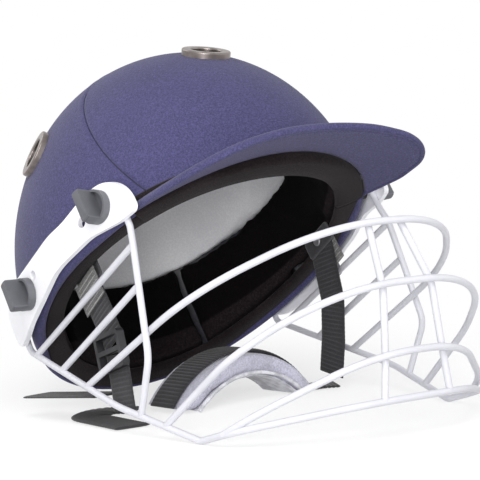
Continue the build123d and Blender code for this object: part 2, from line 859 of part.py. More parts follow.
front_sides = [share * half_width for share in front_upright_shares]
top_place = bow_front(top_points, top_radii, front_sides[0])
middle_place = bow_front(middle_points, middle_radii, front_sides[1])
lower_place = bow_front(lower_points, lower_radii, front_sides[2])
bottom_place = bow_front(bottom_points, all_bottom_radii, front_sides[3])
front_path = [
    (top_place.X, top_place.Y + front_crossing, top_place.Z + wire_radius),
    (middle_place.X, middle_place.Y + front_crossing, middle_place.Z),
    (lower_place.X, lower_place.Y + front_crossing, lower_place.Z),
    (bottom_place.X, bottom_place.Y, bottom_place.Z),
]
front_upright = wire(front_path, [front_upright_bend, front_upright_bend])
keep_pair("front_upright", coped(front_upright, bottom_cutter))

# Chin strap, hanging from tabs inside the rim and lying on the ground


def web(side, places, bends, width=web_width, wall=web_wall):
    """Flat webbing that hangs in an upright plane beside the head."""
    points = [(-ahead, up) for ahead, up in places]
    with BuildPart() as body:
        with BuildSketch(Plane.YZ.offset(side - wall / 2)):
            with BuildLine(mode=Mode.PRIVATE) as path:
                if len(points) > 2:
                    FilletPolyline(*points, radius=bends)
                else:
                    Line(*points)
            trace(path.line, width)
        extrude(amount=wall)
    return body.part


def anchor(side, place):
    """A sewn tab with a rivet's hole, flat on the inside of the webbing."""
    inward = 1 if side < 0 else -1
    face = side + inward * (web_wall / 2 + seat_gap)
    with BuildPart() as body:
        with BuildSketch(Plane(origin=(face, -place[0], place[1]), x_dir=(0, 1, 0), z_dir=(inward, 0, 0))):
            RectangleRounded(anchor_length, anchor_height, anchor_round)
            Circle(rivet_shank + seat_gap, mode=Mode.SUBTRACT)
        extrude(amount=anchor_wall)
    return body.part


def anchor_rivet(side, place):
    """A round-headed rivet through the tab."""
    inward = 1 if side < 0 else -1
    face = side + inward * (web_wall / 2 + seat_gap)
    plane = Plane(origin=(face, -place[0], place[1]), x_dir=(0, 1, 0), z_dir=(inward, 0, 0))
    with BuildPart() as body:
        with BuildSketch(plane):
            Circle(rivet_shank)
        extrude(amount=anchor_wall + seat_gap)
        with BuildSketch(plane.offset(anchor_wall + seat_gap)):
            Circle(rivet_radius)
        extrude(amount=rivet_wall)
        fillet(body.faces().sort_by(Axis(plane.origin, plane.z_dir))[-1].edges(), rivet_round)
    return body.part


for hand, side, place in (("right", -web_side, right_anchor_place), ("left", web_side, left_anchor_place)):
    keep("strap_anchor_" + hand, anchor(side, place))
    keep("strap_rivet_" + hand, anchor_rivet(side, place))

keep("web_left", web(web_side, left_web_places, left_web_bend))
lock_top = right_web_places[-1]
lock_tip = (lock_top[0] - lock_lean, lock_top[1] - lock_length)
lock_entry = between(lock_top, lock_tip, lock_entry_share)
lock_exit = between(lock_top, lock_tip, lock_exit_share)
keep("web_right", web(-web_side, (*right_web_places[:-1], lock_entry), right_web_bend))
lock_side = web_side + web_wall / 2 + lock_wall / 2 + seat_gap
lock_plane = Plane(
    origin=(-lock_side, -(lock_top[0] + lock_tip[0]) / 2, (lock_top[1] + lock_tip[1]) / 2),
    z_dir=(-1, 0, 0),
    x_dir=(0, lock_top[1] - lock_tip[1], lock_top[0] - lock_tip[0]),
)
with BuildPart() as ladder_lock:
    with BuildSketch(lock_plane.offset(-lock_wall / 2)):
        RectangleRounded(lock_width, lock_length, lock_bar)
        slot_step = (lock_length - lock_bar) / 2
        with Locations((0, slot_step / 2), (0, -slot_step / 2)):
            Rectangle(lock_width - 2 * lock_bar, slot_step - lock_bar, mode=Mode.SUBTRACT)
    extrude(amount=lock_wall)
keep("ladder_lock", ladder_lock.part)
tongue_places = [lock_exit, (lock_tip[0] - tongue_run, lock_tip[1] - tongue_drop)]
keep("web_tongue", web(-web_side, tongue_places, None))

# Pieces on the ground are drawn where they lie


def ground_strap(places, bends, wall, width=web_width):
    """Webbing that lies flat on the ground."""
    points = [ground_place(*place) for place in places]
    with BuildPart() as body:
        with BuildSketch(Plane.XY.offset(floor_gap)):
            with BuildLine(mode=Mode.PRIVATE) as path:
                FilletPolyline(*points, radius=bends)
            trace(path.line, width)
        extrude(amount=wall)
    return body.part


pieces["strap_loop"] = ground_strap(loop_places, list(loop_bends), ribbed_wall)
pieces["strap_end_left"] = ground_strap(left_floor_places, left_floor_bend, ribbed_wall)

tail_root = Vector(*ground_place(*tail_places[0]), tail_heights[0])
tail_tip = Vector(*ground_place(*tail_places[1]), tail_heights[1])
tail_run = tail_tip - tail_root
tail_middle = (tail_root + tail_tip) * 0.5
across = tail_run.cross(Vector(0, 0, 1))
tail_plane = Plane(origin=tail_middle, x_dir=tail_run, z_dir=across.cross(tail_run))
with BuildPart() as strap_tail:
    with BuildSketch(tail_plane):
        RectangleRounded(tail_run.length, web_width, tail_round)
    extrude(amount=web_wall)
pieces["strap_tail"] = strap_tail.part

cup_side, cup_back = ground_place(cup_centre, cup_ahead)
cup_along = (cos(radians(cup_turn)), sin(radians(cup_turn)), 0)
cup_facing = (sin(radians(cup_turn)), -cos(radians(cup_turn)), 0)
cup_plane = Plane(origin=(cup_side, cup_back, floor_gap), x_dir=cup_along, z_dir=cup_facing)


def cup_arch(outside, inside, depth):
    """An arch standing on the ground between two insets from the cup's crown."""
    with BuildPart() as body:
        with BuildSketch(cup_plane.offset(-depth / 2)):
            with BuildLine():
                half = cup_length / 2
                outer = ThreePointArc((-half + outside, 0), (0, cup_rise - outside), (half - outside, 0))
                inner = ThreePointArc((-half + inside, 0), (0, cup_rise - inside), (half - inside, 0))
                Line(outer @ 0, inner @ 0)
                Line(outer @ 1, inner @ 1)
            make_face()
        extrude(amount=depth)
    return body.part


with BuildPart() as cup_pad:
    add(cup_arch(0, cup_wall, cup_depth))
    fillet(cup_pad.edges().filter_by(GeomType.CIRCLE).sort_by(SortBy.LENGTH)[-2:], cup_round)
pieces["cup_pad"] = cup_pad.part
backing_low = cup_wall + layer_gap
pieces["cup_backing"] = cup_arch(backing_low, backing_low + backing_wall, cup_depth - 2 * cup_round)

# The strap over the cup ends above the straps that lie on the ground
with BuildPart() as cup_strap:
    add(cup_arch(-layer_gap - ribbed_wall, -layer_gap, web_width))
    with BuildSketch(Plane.XY):
        Rectangle(4 * half_width, 4 * half_width)
    extrude(amount=floor_gap + ribbed_wall + layer_gap, mode=Mode.SUBTRACT)
pieces["cup_strap"] = cup_strap.part

for name, piece in pieces.items():
    piece.label = name
    export_step(piece, "parts/" + name + ".step")

everything = Compound(list(pieces.values())).bounding_box()
print("box", everything.min, everything.max, "pitch", pitch)
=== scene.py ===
import json
import math

import bmesh
import bpy
import numpy as np
from mathutils import Matrix, Vector


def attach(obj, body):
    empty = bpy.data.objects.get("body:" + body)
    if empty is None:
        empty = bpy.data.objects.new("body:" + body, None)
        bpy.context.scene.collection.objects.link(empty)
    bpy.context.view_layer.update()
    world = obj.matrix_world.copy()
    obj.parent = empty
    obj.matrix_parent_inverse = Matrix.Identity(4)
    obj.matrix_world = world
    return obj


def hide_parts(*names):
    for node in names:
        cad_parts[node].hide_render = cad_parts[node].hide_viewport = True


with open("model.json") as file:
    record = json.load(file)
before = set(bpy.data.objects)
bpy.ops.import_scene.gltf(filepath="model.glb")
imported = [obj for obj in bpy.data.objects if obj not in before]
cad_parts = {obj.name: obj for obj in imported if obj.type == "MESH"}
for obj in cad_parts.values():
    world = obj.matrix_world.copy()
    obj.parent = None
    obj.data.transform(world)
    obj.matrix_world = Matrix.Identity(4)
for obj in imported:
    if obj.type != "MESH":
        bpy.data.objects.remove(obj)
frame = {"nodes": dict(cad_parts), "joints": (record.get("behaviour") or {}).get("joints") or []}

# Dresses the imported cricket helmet: cloth over the shell, padding, straps, finishes, stage and camera.
# Lengths are in metres. Worn axes: X to the wearer's left, Y to the back of the head, Z up from the rim.

bl_info = {
    "name": "Cricket Helmet Dresser",
    "version": (1, 0, 0),
    "blender": (4, 5, 0),
    "location": "View3D > Sidebar > Helmet",
    "description": "Dresses the packed helmet with cloth, padding, straps and finishes",
    "category": "Object",
}

LAY_BACK = math.radians(34.996)
WORN_ORIGIN = Vector((0.0, 0.0381516, 0.0860886))
WORN = Matrix.Translation(WORN_ORIGIN) @ Matrix.Rotation(-LAY_BACK, 4, "X")
WORN_TURN = np.array(WORN.to_3x3())
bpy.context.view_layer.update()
SEAM_LEAN = math.radians(21.3)


def colour(red, green, blue):
    """A linear colour from the 0 to 255 values of a picture."""
    values = []
    for part in (red, green, blue):
        share = part / 255
        values.append(share / 12.92 if share <= 0.04045 else ((share + 0.055) / 1.055) ** 2.4)
    return (*values, 1.0)


def length(name, description, default):
    """A length that a user may set."""
    return bpy.props.FloatProperty(name=name, description=description, default=default, unit="LENGTH")


def shade(name, description, default):
    """A colour that a user may set."""
    return bpy.props.FloatVectorProperty(
        name=name, description=description, default=colour(*default), size=4, subtype="COLOR"
    )


# Sizes and colours that a user would change


class HelmetShape(bpy.types.PropertyGroup):
    """Sizes of the cloth, the padding and the webbing."""

    half_width: length("Half width", "Half the width over the cloth", 0.112)
    dome_radius: length("Dome radius", "Radius seen from the side", 0.133)
    crown_bend: length("Crown bend", "Radius of the bend over the crown", 0.100)
    dome_height: length("Dome height", "Height of the dome's middle over the rim", 0.0163)
    cloth_wall: length("Cloth wall", "Thickness of the cloth cover", 0.0016)
    seam_ahead: length("Seam place", "Where the crown seam meets the rim", 0.093)
    seam_lean: bpy.props.FloatProperty(
        name="Seam lean", description="How far the seam leans back", default=SEAM_LEAN, subtype="ANGLE"
    )
    pad_puff: length("Pad puff", "How far padding may swell", 0.0016)
    rib_pitch: length("Rib pitch", "Step between the ribs of the webbing", 0.0029)


class HelmetColours(bpy.types.PropertyGroup):
    """Colours of the helmet's finishes."""

    cloth: shade("Cloth", "Navy cloth", (72, 70, 107))
    felt: shade("Felt", "Dark edging and foam", (36, 30, 32))
    liner: shade("Liner", "Pale crown liner", (250, 250, 255))
    plate: shade("Plate", "White side plates", (248, 248, 252))
    grip: shade("Grip", "Grey screw grips", (92, 93, 98))
    wire: shade("Wire", "White coated wire", (217, 217, 224))
    webbing: shade("Webbing", "Black webbing", (46, 45, 48))
    plush: shade("Plush", "Silver plush of the chin cup", (206, 205, 222))


# Shader maths


SEEN_RAYS = ("Is Camera Ray", "Is Glossy Ray", "Is Transmission Ray")


class Signal:
    """One socket of a node tree, with arithmetic that adds Math nodes."""

    def __init__(self, nodes, socket):
        self.nodes = nodes
        self.socket = socket

    def _math(self, operation, *values):
        links = dict(enumerate(values))
        return self.nodes.add("ShaderNodeMath", {"operation": operation}, links)

    def __add__(self, other):
        return self._math("ADD", self, other)

    def __radd__(self, other):
        return self._math("ADD", other, self)

    def __sub__(self, other):
        return self._math("SUBTRACT", self, other)

    def __mul__(self, other):
        return self._math("MULTIPLY", self, other)

    def low(self, other):
        """The lower of two values."""
        return self._math("MINIMUM", self, other)

    def high(self, other):
        """The higher of two values."""
        return self._math("MAXIMUM", self, other)

    def step(self, start, end):
        """A smooth rise from 0 to 1 between two values."""
        settings = {"interpolation_type": "SMOOTHSTEP"}
        links = {"Value": self, "From Min": start, "From Max": end}
        return self.nodes.add("ShaderNodeMapRange", settings, links)


class Nodes:
    """A node tree that is filled by calls."""

    def __init__(self, tree):
        self.tree = tree
        self.tree.nodes.clear()

    def add(self, kind, settings=None, links=None, out=0):
        """One node of a type: its settings, then the values or links of its sockets."""
        node = self.tree.nodes.new(kind)
        for key, value in (settings or {}).items():
            setattr(node, key, value)
        for key, value in (links or {}).items():
            if isinstance(value, Signal):
                self.tree.links.new(value.socket, node.inputs[key])
            else:
                node.inputs[key].default_value = value
        return None if out is None else Signal(self, node.outputs[out])

    def seen(self):
        """1 for the rays of the camera, mirrors and glass, and 0 for others."""
        path = self.tree.nodes.new("ShaderNodeLightPath")
        camera, mirror, glass = (Signal(self, path.outputs[name]) for name in SEEN_RAYS)
        return camera.high(mirror).high(glass)


class Finish(Nodes):
    """A material made of nodes, with one Principled shader."""

    def __init__(self, name):
        self.material = bpy.data.materials.new(name)
        self.material.use_nodes = True
        super().__init__(self.material.node_tree)
        self.place = self.add("ShaderNodeTexCoord", out="Object")

    def noise(self, per_metre, detail=2.0, rough=0.5):
        """Cloudy noise with a number of waves to the metre."""
        links = {"Vector": self.place, "Scale": per_metre, "Detail": detail, "Roughness": rough}
        return self.add("ShaderNodeTexNoise", None, links, "Fac")

    def cells(self, per_metre):
        """Distance to the middle of the nearest cell."""
        return self.add("ShaderNodeTexVoronoi", None, {"Vector": self.place, "Scale": per_metre}, "Distance")

    def axis(self, direction):
        """Distance along a direction."""
        links = {0: self.place, 1: tuple(direction)}
        return self.add("ShaderNodeVectorMath", {"operation": "DOT_PRODUCT"}, links, "Value")

    def mix(self, share, first, second):
        """A colour between two colours."""
        settings = {"data_type": "RGBA"}
        return self.add("ShaderNodeMix", settings, {0: share, 6: first, 7: second}, 2)

    def relief(self, height, strength, distance):
        """A normal from a height."""
        links = {"Height": height, "Strength": strength, "Distance": distance}
        return self.add("ShaderNodeBump", None, links, "Normal")

    def shade(self, **links):
        """The Principled shader and the output."""
        named = {key.replace("_", " "): value for key, value in links.items()}
        surface = self.add("ShaderNodeBsdfPrincipled", None, named)
        self.add("ShaderNodeOutputMaterial", None, {"Surface": surface}, None)
        return self.material


def shades(base, *factors):
    """The same colour made darker or lighter by factors."""
    return [tuple(min(part * factor, 1.0) for part in base[:3]) + (1.0,) for factor in factors]


# Finishes


def cloth_finish(base):
    """Fine navy cloth: woven speckle, lint and soft cloudy variation."""
    finish = Finish("navy_cloth")
    dark, light, lint = shades(base, 0.68, 1.42, 2.5)
    weave = finish.cells(1150.0)
    cloud = finish.noise(9.0, 3.0)
    grain = finish.noise(640.0, 3.0, 0.65)
    speck = finish.noise(330.0, 4.0, 0.7).step(0.66, 0.78)
    tone = finish.mix((weave * 0.55 + grain * 0.75 + cloud * 0.35).step(0.52, 1.18), dark, light)
    tone = finish.mix(speck * 0.3, tone, lint)
    normal = finish.relief(weave * 0.6 + grain, 0.35, 0.0007)
    return finish.shade(
        Base_Color=tone, Roughness=0.92, Normal=normal, Sheen_Weight=0.1, Sheen_Roughness=0.5,
        Specular_IOR_Level=0.2,
    )


def felt_finish(base):
    """Dark brushed felt."""
    finish = Finish("dark_felt")
    fibre = finish.noise(900.0, 4.0, 0.7)
    cloud = finish.noise(25.0, 2.0)
    tone = finish.mix((fibre * 0.8 + cloud * 0.4).step(0.42, 0.86), *shades(base, 0.55, 1.7))
    normal = finish.relief(fibre, 0.5, 0.0008)
    return finish.shade(
        Base_Color=tone, Roughness=0.97, Normal=normal, Sheen_Weight=0.06, Specular_IOR_Level=0.12
    )


FELT_TOP = (0.0105, 0.0125)
FOAM_SHARE = 0.16


def foam_finish(edge, base):
    """Black foam whose lower edge has the felt's colour."""
    finish = Finish("black_foam")
    up = WORN.to_3x3() @ Vector((0.0, 0.0, 1.0))
    height = finish.axis(up) - WORN_ORIGIN.dot(up)
    fibre = finish.noise(700.0, 4.0, 0.7)
    felt = finish.mix(fibre.step(0.35, 0.75), *shades(edge, 0.6, 1.5))
    foam = finish.mix(fibre.step(0.35, 0.75), *shades(base, 0.6, 1.5))
    tone = finish.mix(height.step(*FELT_TOP), felt, foam)
    normal = finish.relief(fibre, 0.5, 0.0008)
    return finish.shade(Base_Color=tone, Roughness=0.97, Normal=normal, Specular_IOR_Level=0.12)


def liner_finish(base):
    """Pale smooth lining cloth with a faint knit."""
    finish = Finish("pale_liner")
    knit = finish.cells(820.0)
    cloud = finish.noise(14.0, 3.0)
    tone = finish.mix((knit * 0.3 + cloud * 0.8).step(0.25, 0.9), *shades(base, 0.84, 1.08))
    normal = finish.relief(knit, 0.15, 0.0004)
    rough = 0.48 + cloud * 0.12
    return finish.shade(Base_Color=tone, Roughness=rough, Normal=normal, Sheen_Weight=0.2)


def plate_finish(base):
    """White moulded plastic with faint mould texture and scuffs."""
    finish = Finish("white_plate")
    cloud = finish.noise(30.0, 3.0)
    scuff = finish.noise(260.0, 4.0, 0.75).step(0.62, 0.74)
    tone = finish.mix((cloud.step(0.4, 0.75) * 0.5 + scuff * 0.35).low(1.0), *shades(base, 1.0, 0.9))
    normal = finish.relief(finish.noise(1400.0, 2.0), 0.08, 0.0003)
    rough = 0.34 + scuff * 0.2 + cloud * 0.06
    return finish.shade(Base_Color=tone, Roughness=rough, Normal=normal)


def grip_finish(base):
    """Grey moulded plastic, with a painted highlight that lightens its sharp edges."""
    finish = Finish("grey_grip")
    cloud = finish.noise(180.0, 3.0)
    grain = finish.noise(2200.0, 2.0)
    # Painted highlight: pointiness lightens the grips' sharp edges, where light would catch them.
    edge = finish.add("ShaderNodeNewGeometry", out="Pointiness").step(0.5, 0.56)
    tone = finish.mix((cloud * 0.5 + edge * 0.55).low(1.0), *shades(base, 0.72, 1.35))
    normal = finish.relief(grain, 0.18, 0.0003)
    return finish.shade(Base_Color=tone, Roughness=0.42 + cloud * 0.14, Normal=normal)


def wire_finish(base):
    """White powder coat with a faint orange peel."""
    finish = Finish("white_wire")
    peel = finish.noise(700.0, 2.0)
    cloud = finish.noise(35.0, 3.0)
    tone = finish.mix(cloud.step(0.42, 0.8) * 0.6, *shades(base, 1.0, 0.86))
    normal = finish.relief(peel, 0.12, 0.0004)
    return finish.shade(Base_Color=tone, Roughness=0.3 + peel * 0.12, Normal=normal)


def metal_finish(name, base, rough):
    """Plated metal with fine scratches."""
    finish = Finish(name)
    scratch = finish.noise(1500.0, 4.0, 0.8)
    cloud = finish.noise(120.0, 3.0)
    tone = finish.mix(cloud.step(0.35, 0.7), *shades(base, 0.8, 1.15))
    normal = finish.relief(scratch, 0.06, 0.0002)
    return finish.shade(Base_Color=tone, Metallic=1.0, Roughness=rough + scratch * 0.12, Normal=normal)


def webbing_finish(base, name="black_webbing"):
    """Webbing whose ribs and edges get a painted highlight, as if they catch the light."""
    finish = Finish(name)
    thread = finish.noise(1300.0, 3.0, 0.6)
    # Painted highlight: pointiness lightens the ribs' edges, where light would catch them.
    edge = finish.add("ShaderNodeNewGeometry", out="Pointiness").step(0.49, 0.55)
    tone = finish.mix((thread.step(0.4, 0.75) * 0.35 + edge * 0.75).low(1.0), *shades(base, 0.6, 3.4))
    normal = finish.relief(thread, 0.4, 0.0005)
    return finish.shade(Base_Color=tone, Roughness=0.8, Normal=normal, Sheen_Weight=0.2)


def plush_finish(base):
    """Silver plush with a short fuzzy pile."""
    finish = Finish("silver_plush")
    pile = finish.noise(760.0, 4.0, 0.75)
    cloud = finish.noise(45.0, 3.0)
    tone = finish.mix((pile * 0.9 + cloud * 0.4).step(0.42, 0.92), *shades(base, 0.7, 1.25))
    normal = finish.relief(pile, 0.7, 0.001)
    return finish.shade(Base_Color=tone, Roughness=0.9, Normal=normal, Sheen_Weight=0.5, Sheen_Roughness=0.4)


def plain_plastic_finish(name, base):
    """Black or coloured moulded plastic."""
    finish = Finish(name)
    cloud = finish.noise(150.0, 3.0)
    tone = finish.mix(cloud.step(0.3, 0.7), *shades(base, 0.75, 1.3))
    normal = finish.relief(finish.noise(1800.0, 2.0), 0.15, 0.0003)
    return finish.shade(Base_Color=tone, Roughness=0.38 + cloud * 0.1, Normal=normal)


# Makers of objects and meshes


MATERIALS = {}


def linked(name, data):
    """A new object in the scene."""
    made = bpy.data.objects.new(name, data)
    bpy.context.scene.collection.objects.link(made)
    return made


def dress(mesh, finish):
    """Gives a mesh one finish and smooth shading."""
    mesh.materials.clear()
    mesh.materials.append(MATERIALS[finish])
    mesh.polygons.foreach_set("use_smooth", [True] * len(mesh.polygons))


def finish_piece(name, mesh, finish, body):
    """Links a mesh as an object, gives it its finish and lets it ride."""
    dress(mesh, finish)
    piece = linked(name, mesh)
    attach(piece, body)
    return piece


def mesh_from(name, shape):
    """A mesh made from a working mesh, which is freed."""
    data = bpy.data.meshes.new(name)
    shape.to_mesh(data)
    shape.free()
    return data


def stand(points):
    """Worn points laid back on the ground."""
    return np.asarray(points, float) @ WORN_TURN.T + np.array(WORN_ORIGIN)


def loft(name, sections, finish, body):
    """A capped loft through closed sections with equal counts, riding on a body."""
    count, around = sections.shape[:2]
    faces = []
    for row in range(0, (count - 1) * around, around):
        for column in range(around):
            beside = (column + 1) % around
            faces.append((row + column, row + beside, row + around + beside, row + around + column))
    faces.append(tuple(reversed(range(around))))
    faces.append(tuple((count - 1) * around + column for column in range(around)))
    mesh = bpy.data.meshes.new(name)
    mesh.from_pydata(sections.reshape(-1, 3).tolist(), [], faces)
    mesh.validate()
    return finish_piece(name, mesh, finish, body)


# The dome's oval and the rim line, in worn axes


RIM_PLACES = ((-0.133, -0.004), (0.0, 0.002), (0.133, -0.012))
HALVINGS = 44
RIM_HALVINGS = 40
SEAT_HALVINGS = 30
RISE_LIMITS = (-0.6, 1.2)
FAR = 0.3
SMALL_STEP = 1e-5


def unit(ways):
    """Directions made one unit long."""
    return ways / np.linalg.norm(ways, axis=-1, keepdims=True)


def sight(turn, rise):
    """Directions at angles about the upright axis, from the front, and angles up."""
    return np.stack([np.sin(turn) * np.cos(rise), -np.cos(turn) * np.cos(rise), np.sin(rise)], -1)


class Dome:
    """The oval dome that the cloth lies on."""

    def __init__(self, shape):
        half = shape.half_width
        self.height = shape.dome_height
        self.bend = shape.crown_bend
        self.drop = shape.dome_radius - self.bend
        top = half**2 + self.drop**2 - self.bend**2
        self.side_bend = top / (2 * (half - self.bend))
        self.side_middle = half - self.side_bend
        self.rim = self._rim_circle(RIM_PLACES)

    @staticmethod
    def _rim_circle(points):
        """Middle and radius of the rim's arc, seen from the side."""
        (ax, ay), (bx, by), (cx, cy) = points
        twice = 2 * (ax * (by - cy) + bx * (cy - ay) + cx * (ay - by))
        a, b, c = ax**2 + ay**2, bx**2 + by**2, cx**2 + cy**2
        x = (a * (by - cy) + b * (cy - ay) + c * (ay - by)) / twice
        y = (a * (cx - bx) + b * (ax - cx) + c * (bx - ax)) / twice
        return x, y, math.hypot(ax - x, ay - y)

    def rim_height(self, back):
        """Height of the rim line at a distance behind the ears."""
        x, y, radius = self.rim
        return y + np.sqrt(radius**2 - (back - x) ** 2)

    def outside(self, points):
        """How far worn points stand outside the dome's surface."""
        across = np.abs(points[..., 0])
        away = np.hypot(points[..., 1], points[..., 2] - self.height)
        from_crown = np.hypot(across, away - self.drop)
        side = np.hypot(across - self.side_middle, away) - self.side_bend
        over = across * (self.side_bend - self.bend) < -self.side_middle * from_crown
        return np.where(over, from_crown - self.bend, side)

    def reach(self, start, way, inset):
        """Points where lines from inside the dome meet its surface drawn in by an inset."""
        low = np.zeros(way.shape[:-1])
        high = np.full(way.shape[:-1], FAR)
        for _ in range(HALVINGS):
            middle = (low + high) / 2
            inside = self.outside(start + way * middle[..., None]) < -inset
            low = np.where(inside, middle, low)
            high = np.where(inside, high, middle)
        return start + way * low[..., None]

    def facing(self, points):
        """Outward directions at worn points."""
        steps = [self.outside(points + axis * SMALL_STEP) - self.outside(points) for axis in np.eye(3)]
        return unit(np.stack(steps, -1))

    def rim_ray(self, turn, inset, lift):
        """Worn points on the rim line at angles about the upright axis, and their rise in angle."""
        low, high = (np.full(turn.shape, limit) for limit in RISE_LIMITS)
        middle = np.array((0.0, 0.0, self.height))
        for _ in range(RIM_HALVINGS):
            rise = (low + high) / 2
            points = self.reach(middle, sight(turn, rise), inset)
            below = points[..., 2] < self.rim_height(points[..., 1]) + lift
            low = np.where(below, rise, low)
            high = np.where(below, high, rise)
        return points, rise


class SceneKit:
    """The dome, made with the finishes and used by every operator."""

    dome = None


COVER_AROUND = 256
COVER_UP = 84
COVER_LIFT = 0.0004
SEAM_REACH = 0.0042
SEAM_ROLL = 0.0024
SEAM_CUTS = (SEAM_REACH, SEAM_ROLL, SEAM_ROLL / 2)
SEAM_GAP = 0.0003
SEAM_DEPTH = 0.0009
SEAM_PROUD = 0.00022
EYELET_HOLE = 0.0118
SCREW_HOLE = 0.0046
CUTTER_LENGTH = 0.03
CUTTER_SIDES = 40


def cover_points(dome, inset):
    """A grid of worn points from the rim to the crown."""
    turn = np.linspace(0, 2 * math.pi, COVER_AROUND, endpoint=False)
    _, start = dome.rim_ray(turn, inset, COVER_LIFT)
    rise = start + (math.pi / 2 - start) * np.linspace(0, 1, COVER_UP)[:, None]
    return dome.reach(np.array((0.0, 0.0, dome.height)), sight(turn, rise), inset)


def cover_layer(mesh, grid, flip):
    """One skin of the cloth, from rows of worn points up to the crown."""
    rows = [[mesh.verts.new(point) for point in row] for row in grid[:-1]]
    crown = mesh.verts.new(grid[-1][0])
    faces = []
    for low, high in zip(rows, rows[1:]):
        for column in range(COVER_AROUND):
            beside = (column + 1) % COVER_AROUND
            faces.append([low[column], low[beside], high[beside], high[column]])
    faces += [[first, second, crown] for first, second in zip(rows[-1], rows[-1][1:] + rows[-1][:1])]
    for face in faces:
        mesh.faces.new(face[::-1] if flip else face)
    return rows[0]


def cut_cover(ahead, shape):
    """One cloth panel: the dome's skin on one side of the seam, with its edge rolled in."""
    dome = SceneKit.dome
    mesh = bmesh.new()
    outer = cover_layer(mesh, cover_points(dome, 0.0), False)
    inner = cover_layer(mesh, cover_points(dome, shape.cloth_wall), True)
    for column in range(COVER_AROUND):
        beside = (column + 1) % COVER_AROUND
        mesh.faces.new([inner[column], inner[beside], outer[beside], outer[column]])
    normal = Vector((0.0, -math.cos(shape.seam_lean), math.sin(shape.seam_lean)))
    origin = Vector((0.0, -shape.seam_ahead, 0.0))
    side = 1.0 if ahead else -1.0
    for step in SEAM_CUTS:
        cut_plane(mesh, origin + normal * side * step, normal, False)
    cut_plane(mesh, origin + normal * side * SEAM_GAP, normal * side, True)
    bmesh.ops.bridge_loops(mesh, edges=[edge for edge in mesh.edges if edge.is_boundary])
    sink_seam(mesh, dome, origin, normal, side)
    return mesh


def cut_plane(mesh, place, normal, clear):
    """Cuts every face along a plane, and may clear what lies behind it."""
    everything = mesh.verts[:] + mesh.edges[:] + mesh.faces[:]
    bmesh.ops.bisect_plane(mesh, geom=everything, plane_co=place, plane_no=normal, clear_inner=clear)


def sink_seam(mesh, dome, origin, normal, side):
    """Rolls the panel's edge down into the seam and lets the cloth stand a little proud beside it."""
    for vertex in mesh.verts:
        away = (vertex.co - origin).dot(normal) * side
        if away < SEAM_REACH:
            share = 1 - min(max(away / SEAM_ROLL, 0.0), 1.0)
            facing = Vector(dome.facing(np.array(vertex.co)))
            vertex.co -= facing * (SEAM_DEPTH * share**2)
            vertex.co += facing * (SEAM_PROUD * math.sin(math.pi * min(away / SEAM_REACH, 1.0)))


def ring_cutters(holes):
    """One mesh of rods for cutting the cloth at eyelets and screws."""
    mesh = bmesh.new()
    for place, facing, radius in holes:
        turn = facing.to_track_quat("Z", "Y").to_matrix().to_4x4()
        bmesh.ops.create_cone(
            mesh, cap_ends=True, segments=CUTTER_SIDES, radius1=radius, radius2=radius, depth=CUTTER_LENGTH,
            matrix=Matrix.Translation(place) @ turn,
        )
    return linked("cutters", mesh_from("cutters", mesh))


def apply_modifiers(piece):
    """Bakes a piece's modifiers into its mesh."""
    graph = bpy.context.evaluated_depsgraph_get()
    data = bpy.data.meshes.new_from_object(piece.evaluated_get(graph))
    piece.modifiers.clear()
    piece.data = data


def node_axis(name):
    """Middle and facing of a flat round CAD node: the direction in which it is thinnest."""
    points = np.array([vertex.co for vertex in frame["nodes"][name].data.vertices], float)
    middle = points.mean(0)
    ways = np.linalg.eigh(np.cov((points - middle).T))[1]
    return Vector(middle), Vector(ways[:, 0])


def cover_holes():
    """Place, facing and radius of the eyelet and screw holes in the cloth, standing."""
    holes = [(*node_axis("eyelet_" + name), EYELET_HOLE) for name in ("front", "right", "left")]
    for joint in frame["joints"]:
        if "wing_screw" in joint["name"]:
            holes.append((Vector(joint["pos_m"]), Vector(joint["axis"]).normalized(), SCREW_HOLE))
    return holes


def both(*names):
    """The names of a piece's right and left fellows."""
    return [name + hand for name in names for hand in ("_right", "_left")]


NODE_FINISHES = {
    "cloth": (
        "cloth_cover_front", "cloth_cover_rear", "peak_cloth_top", "peak_cloth_under", "peak_piping",
        "rim_roll",
    ),
    "felt": ("rim_felt",),
    "foam": ("pad_front", "pad_rear", *both("pad_side")),
    "liner": ("crown_liner",),
    "plate": both("side_plate"),
    "grip": both("wing_screw_front", "wing_screw_rear"),
    "wire": (
        "bottom_bar", "top_bar", "middle_bar", "lower_bar",
        *both("side_upright", "upper_brace", "lower_brace", "front_upright"),
    ),
    "eyelet": ("eyelet_front", "eyelet_washers", *both("eyelet")),
    "steel": ("shell_nuts", *both("strap_rivet")),
    "webbing": ("web_tongue", "strap_loop", "strap_end_left", "strap_tail", *both("web", "strap_anchor")),
    "lock": ("ladder_lock", "plate_spacers"),
    "shell": ("hard_shell", "peak_board"),
    "plush": ("cup_pad",),
    "backing": ("cup_backing",),
}


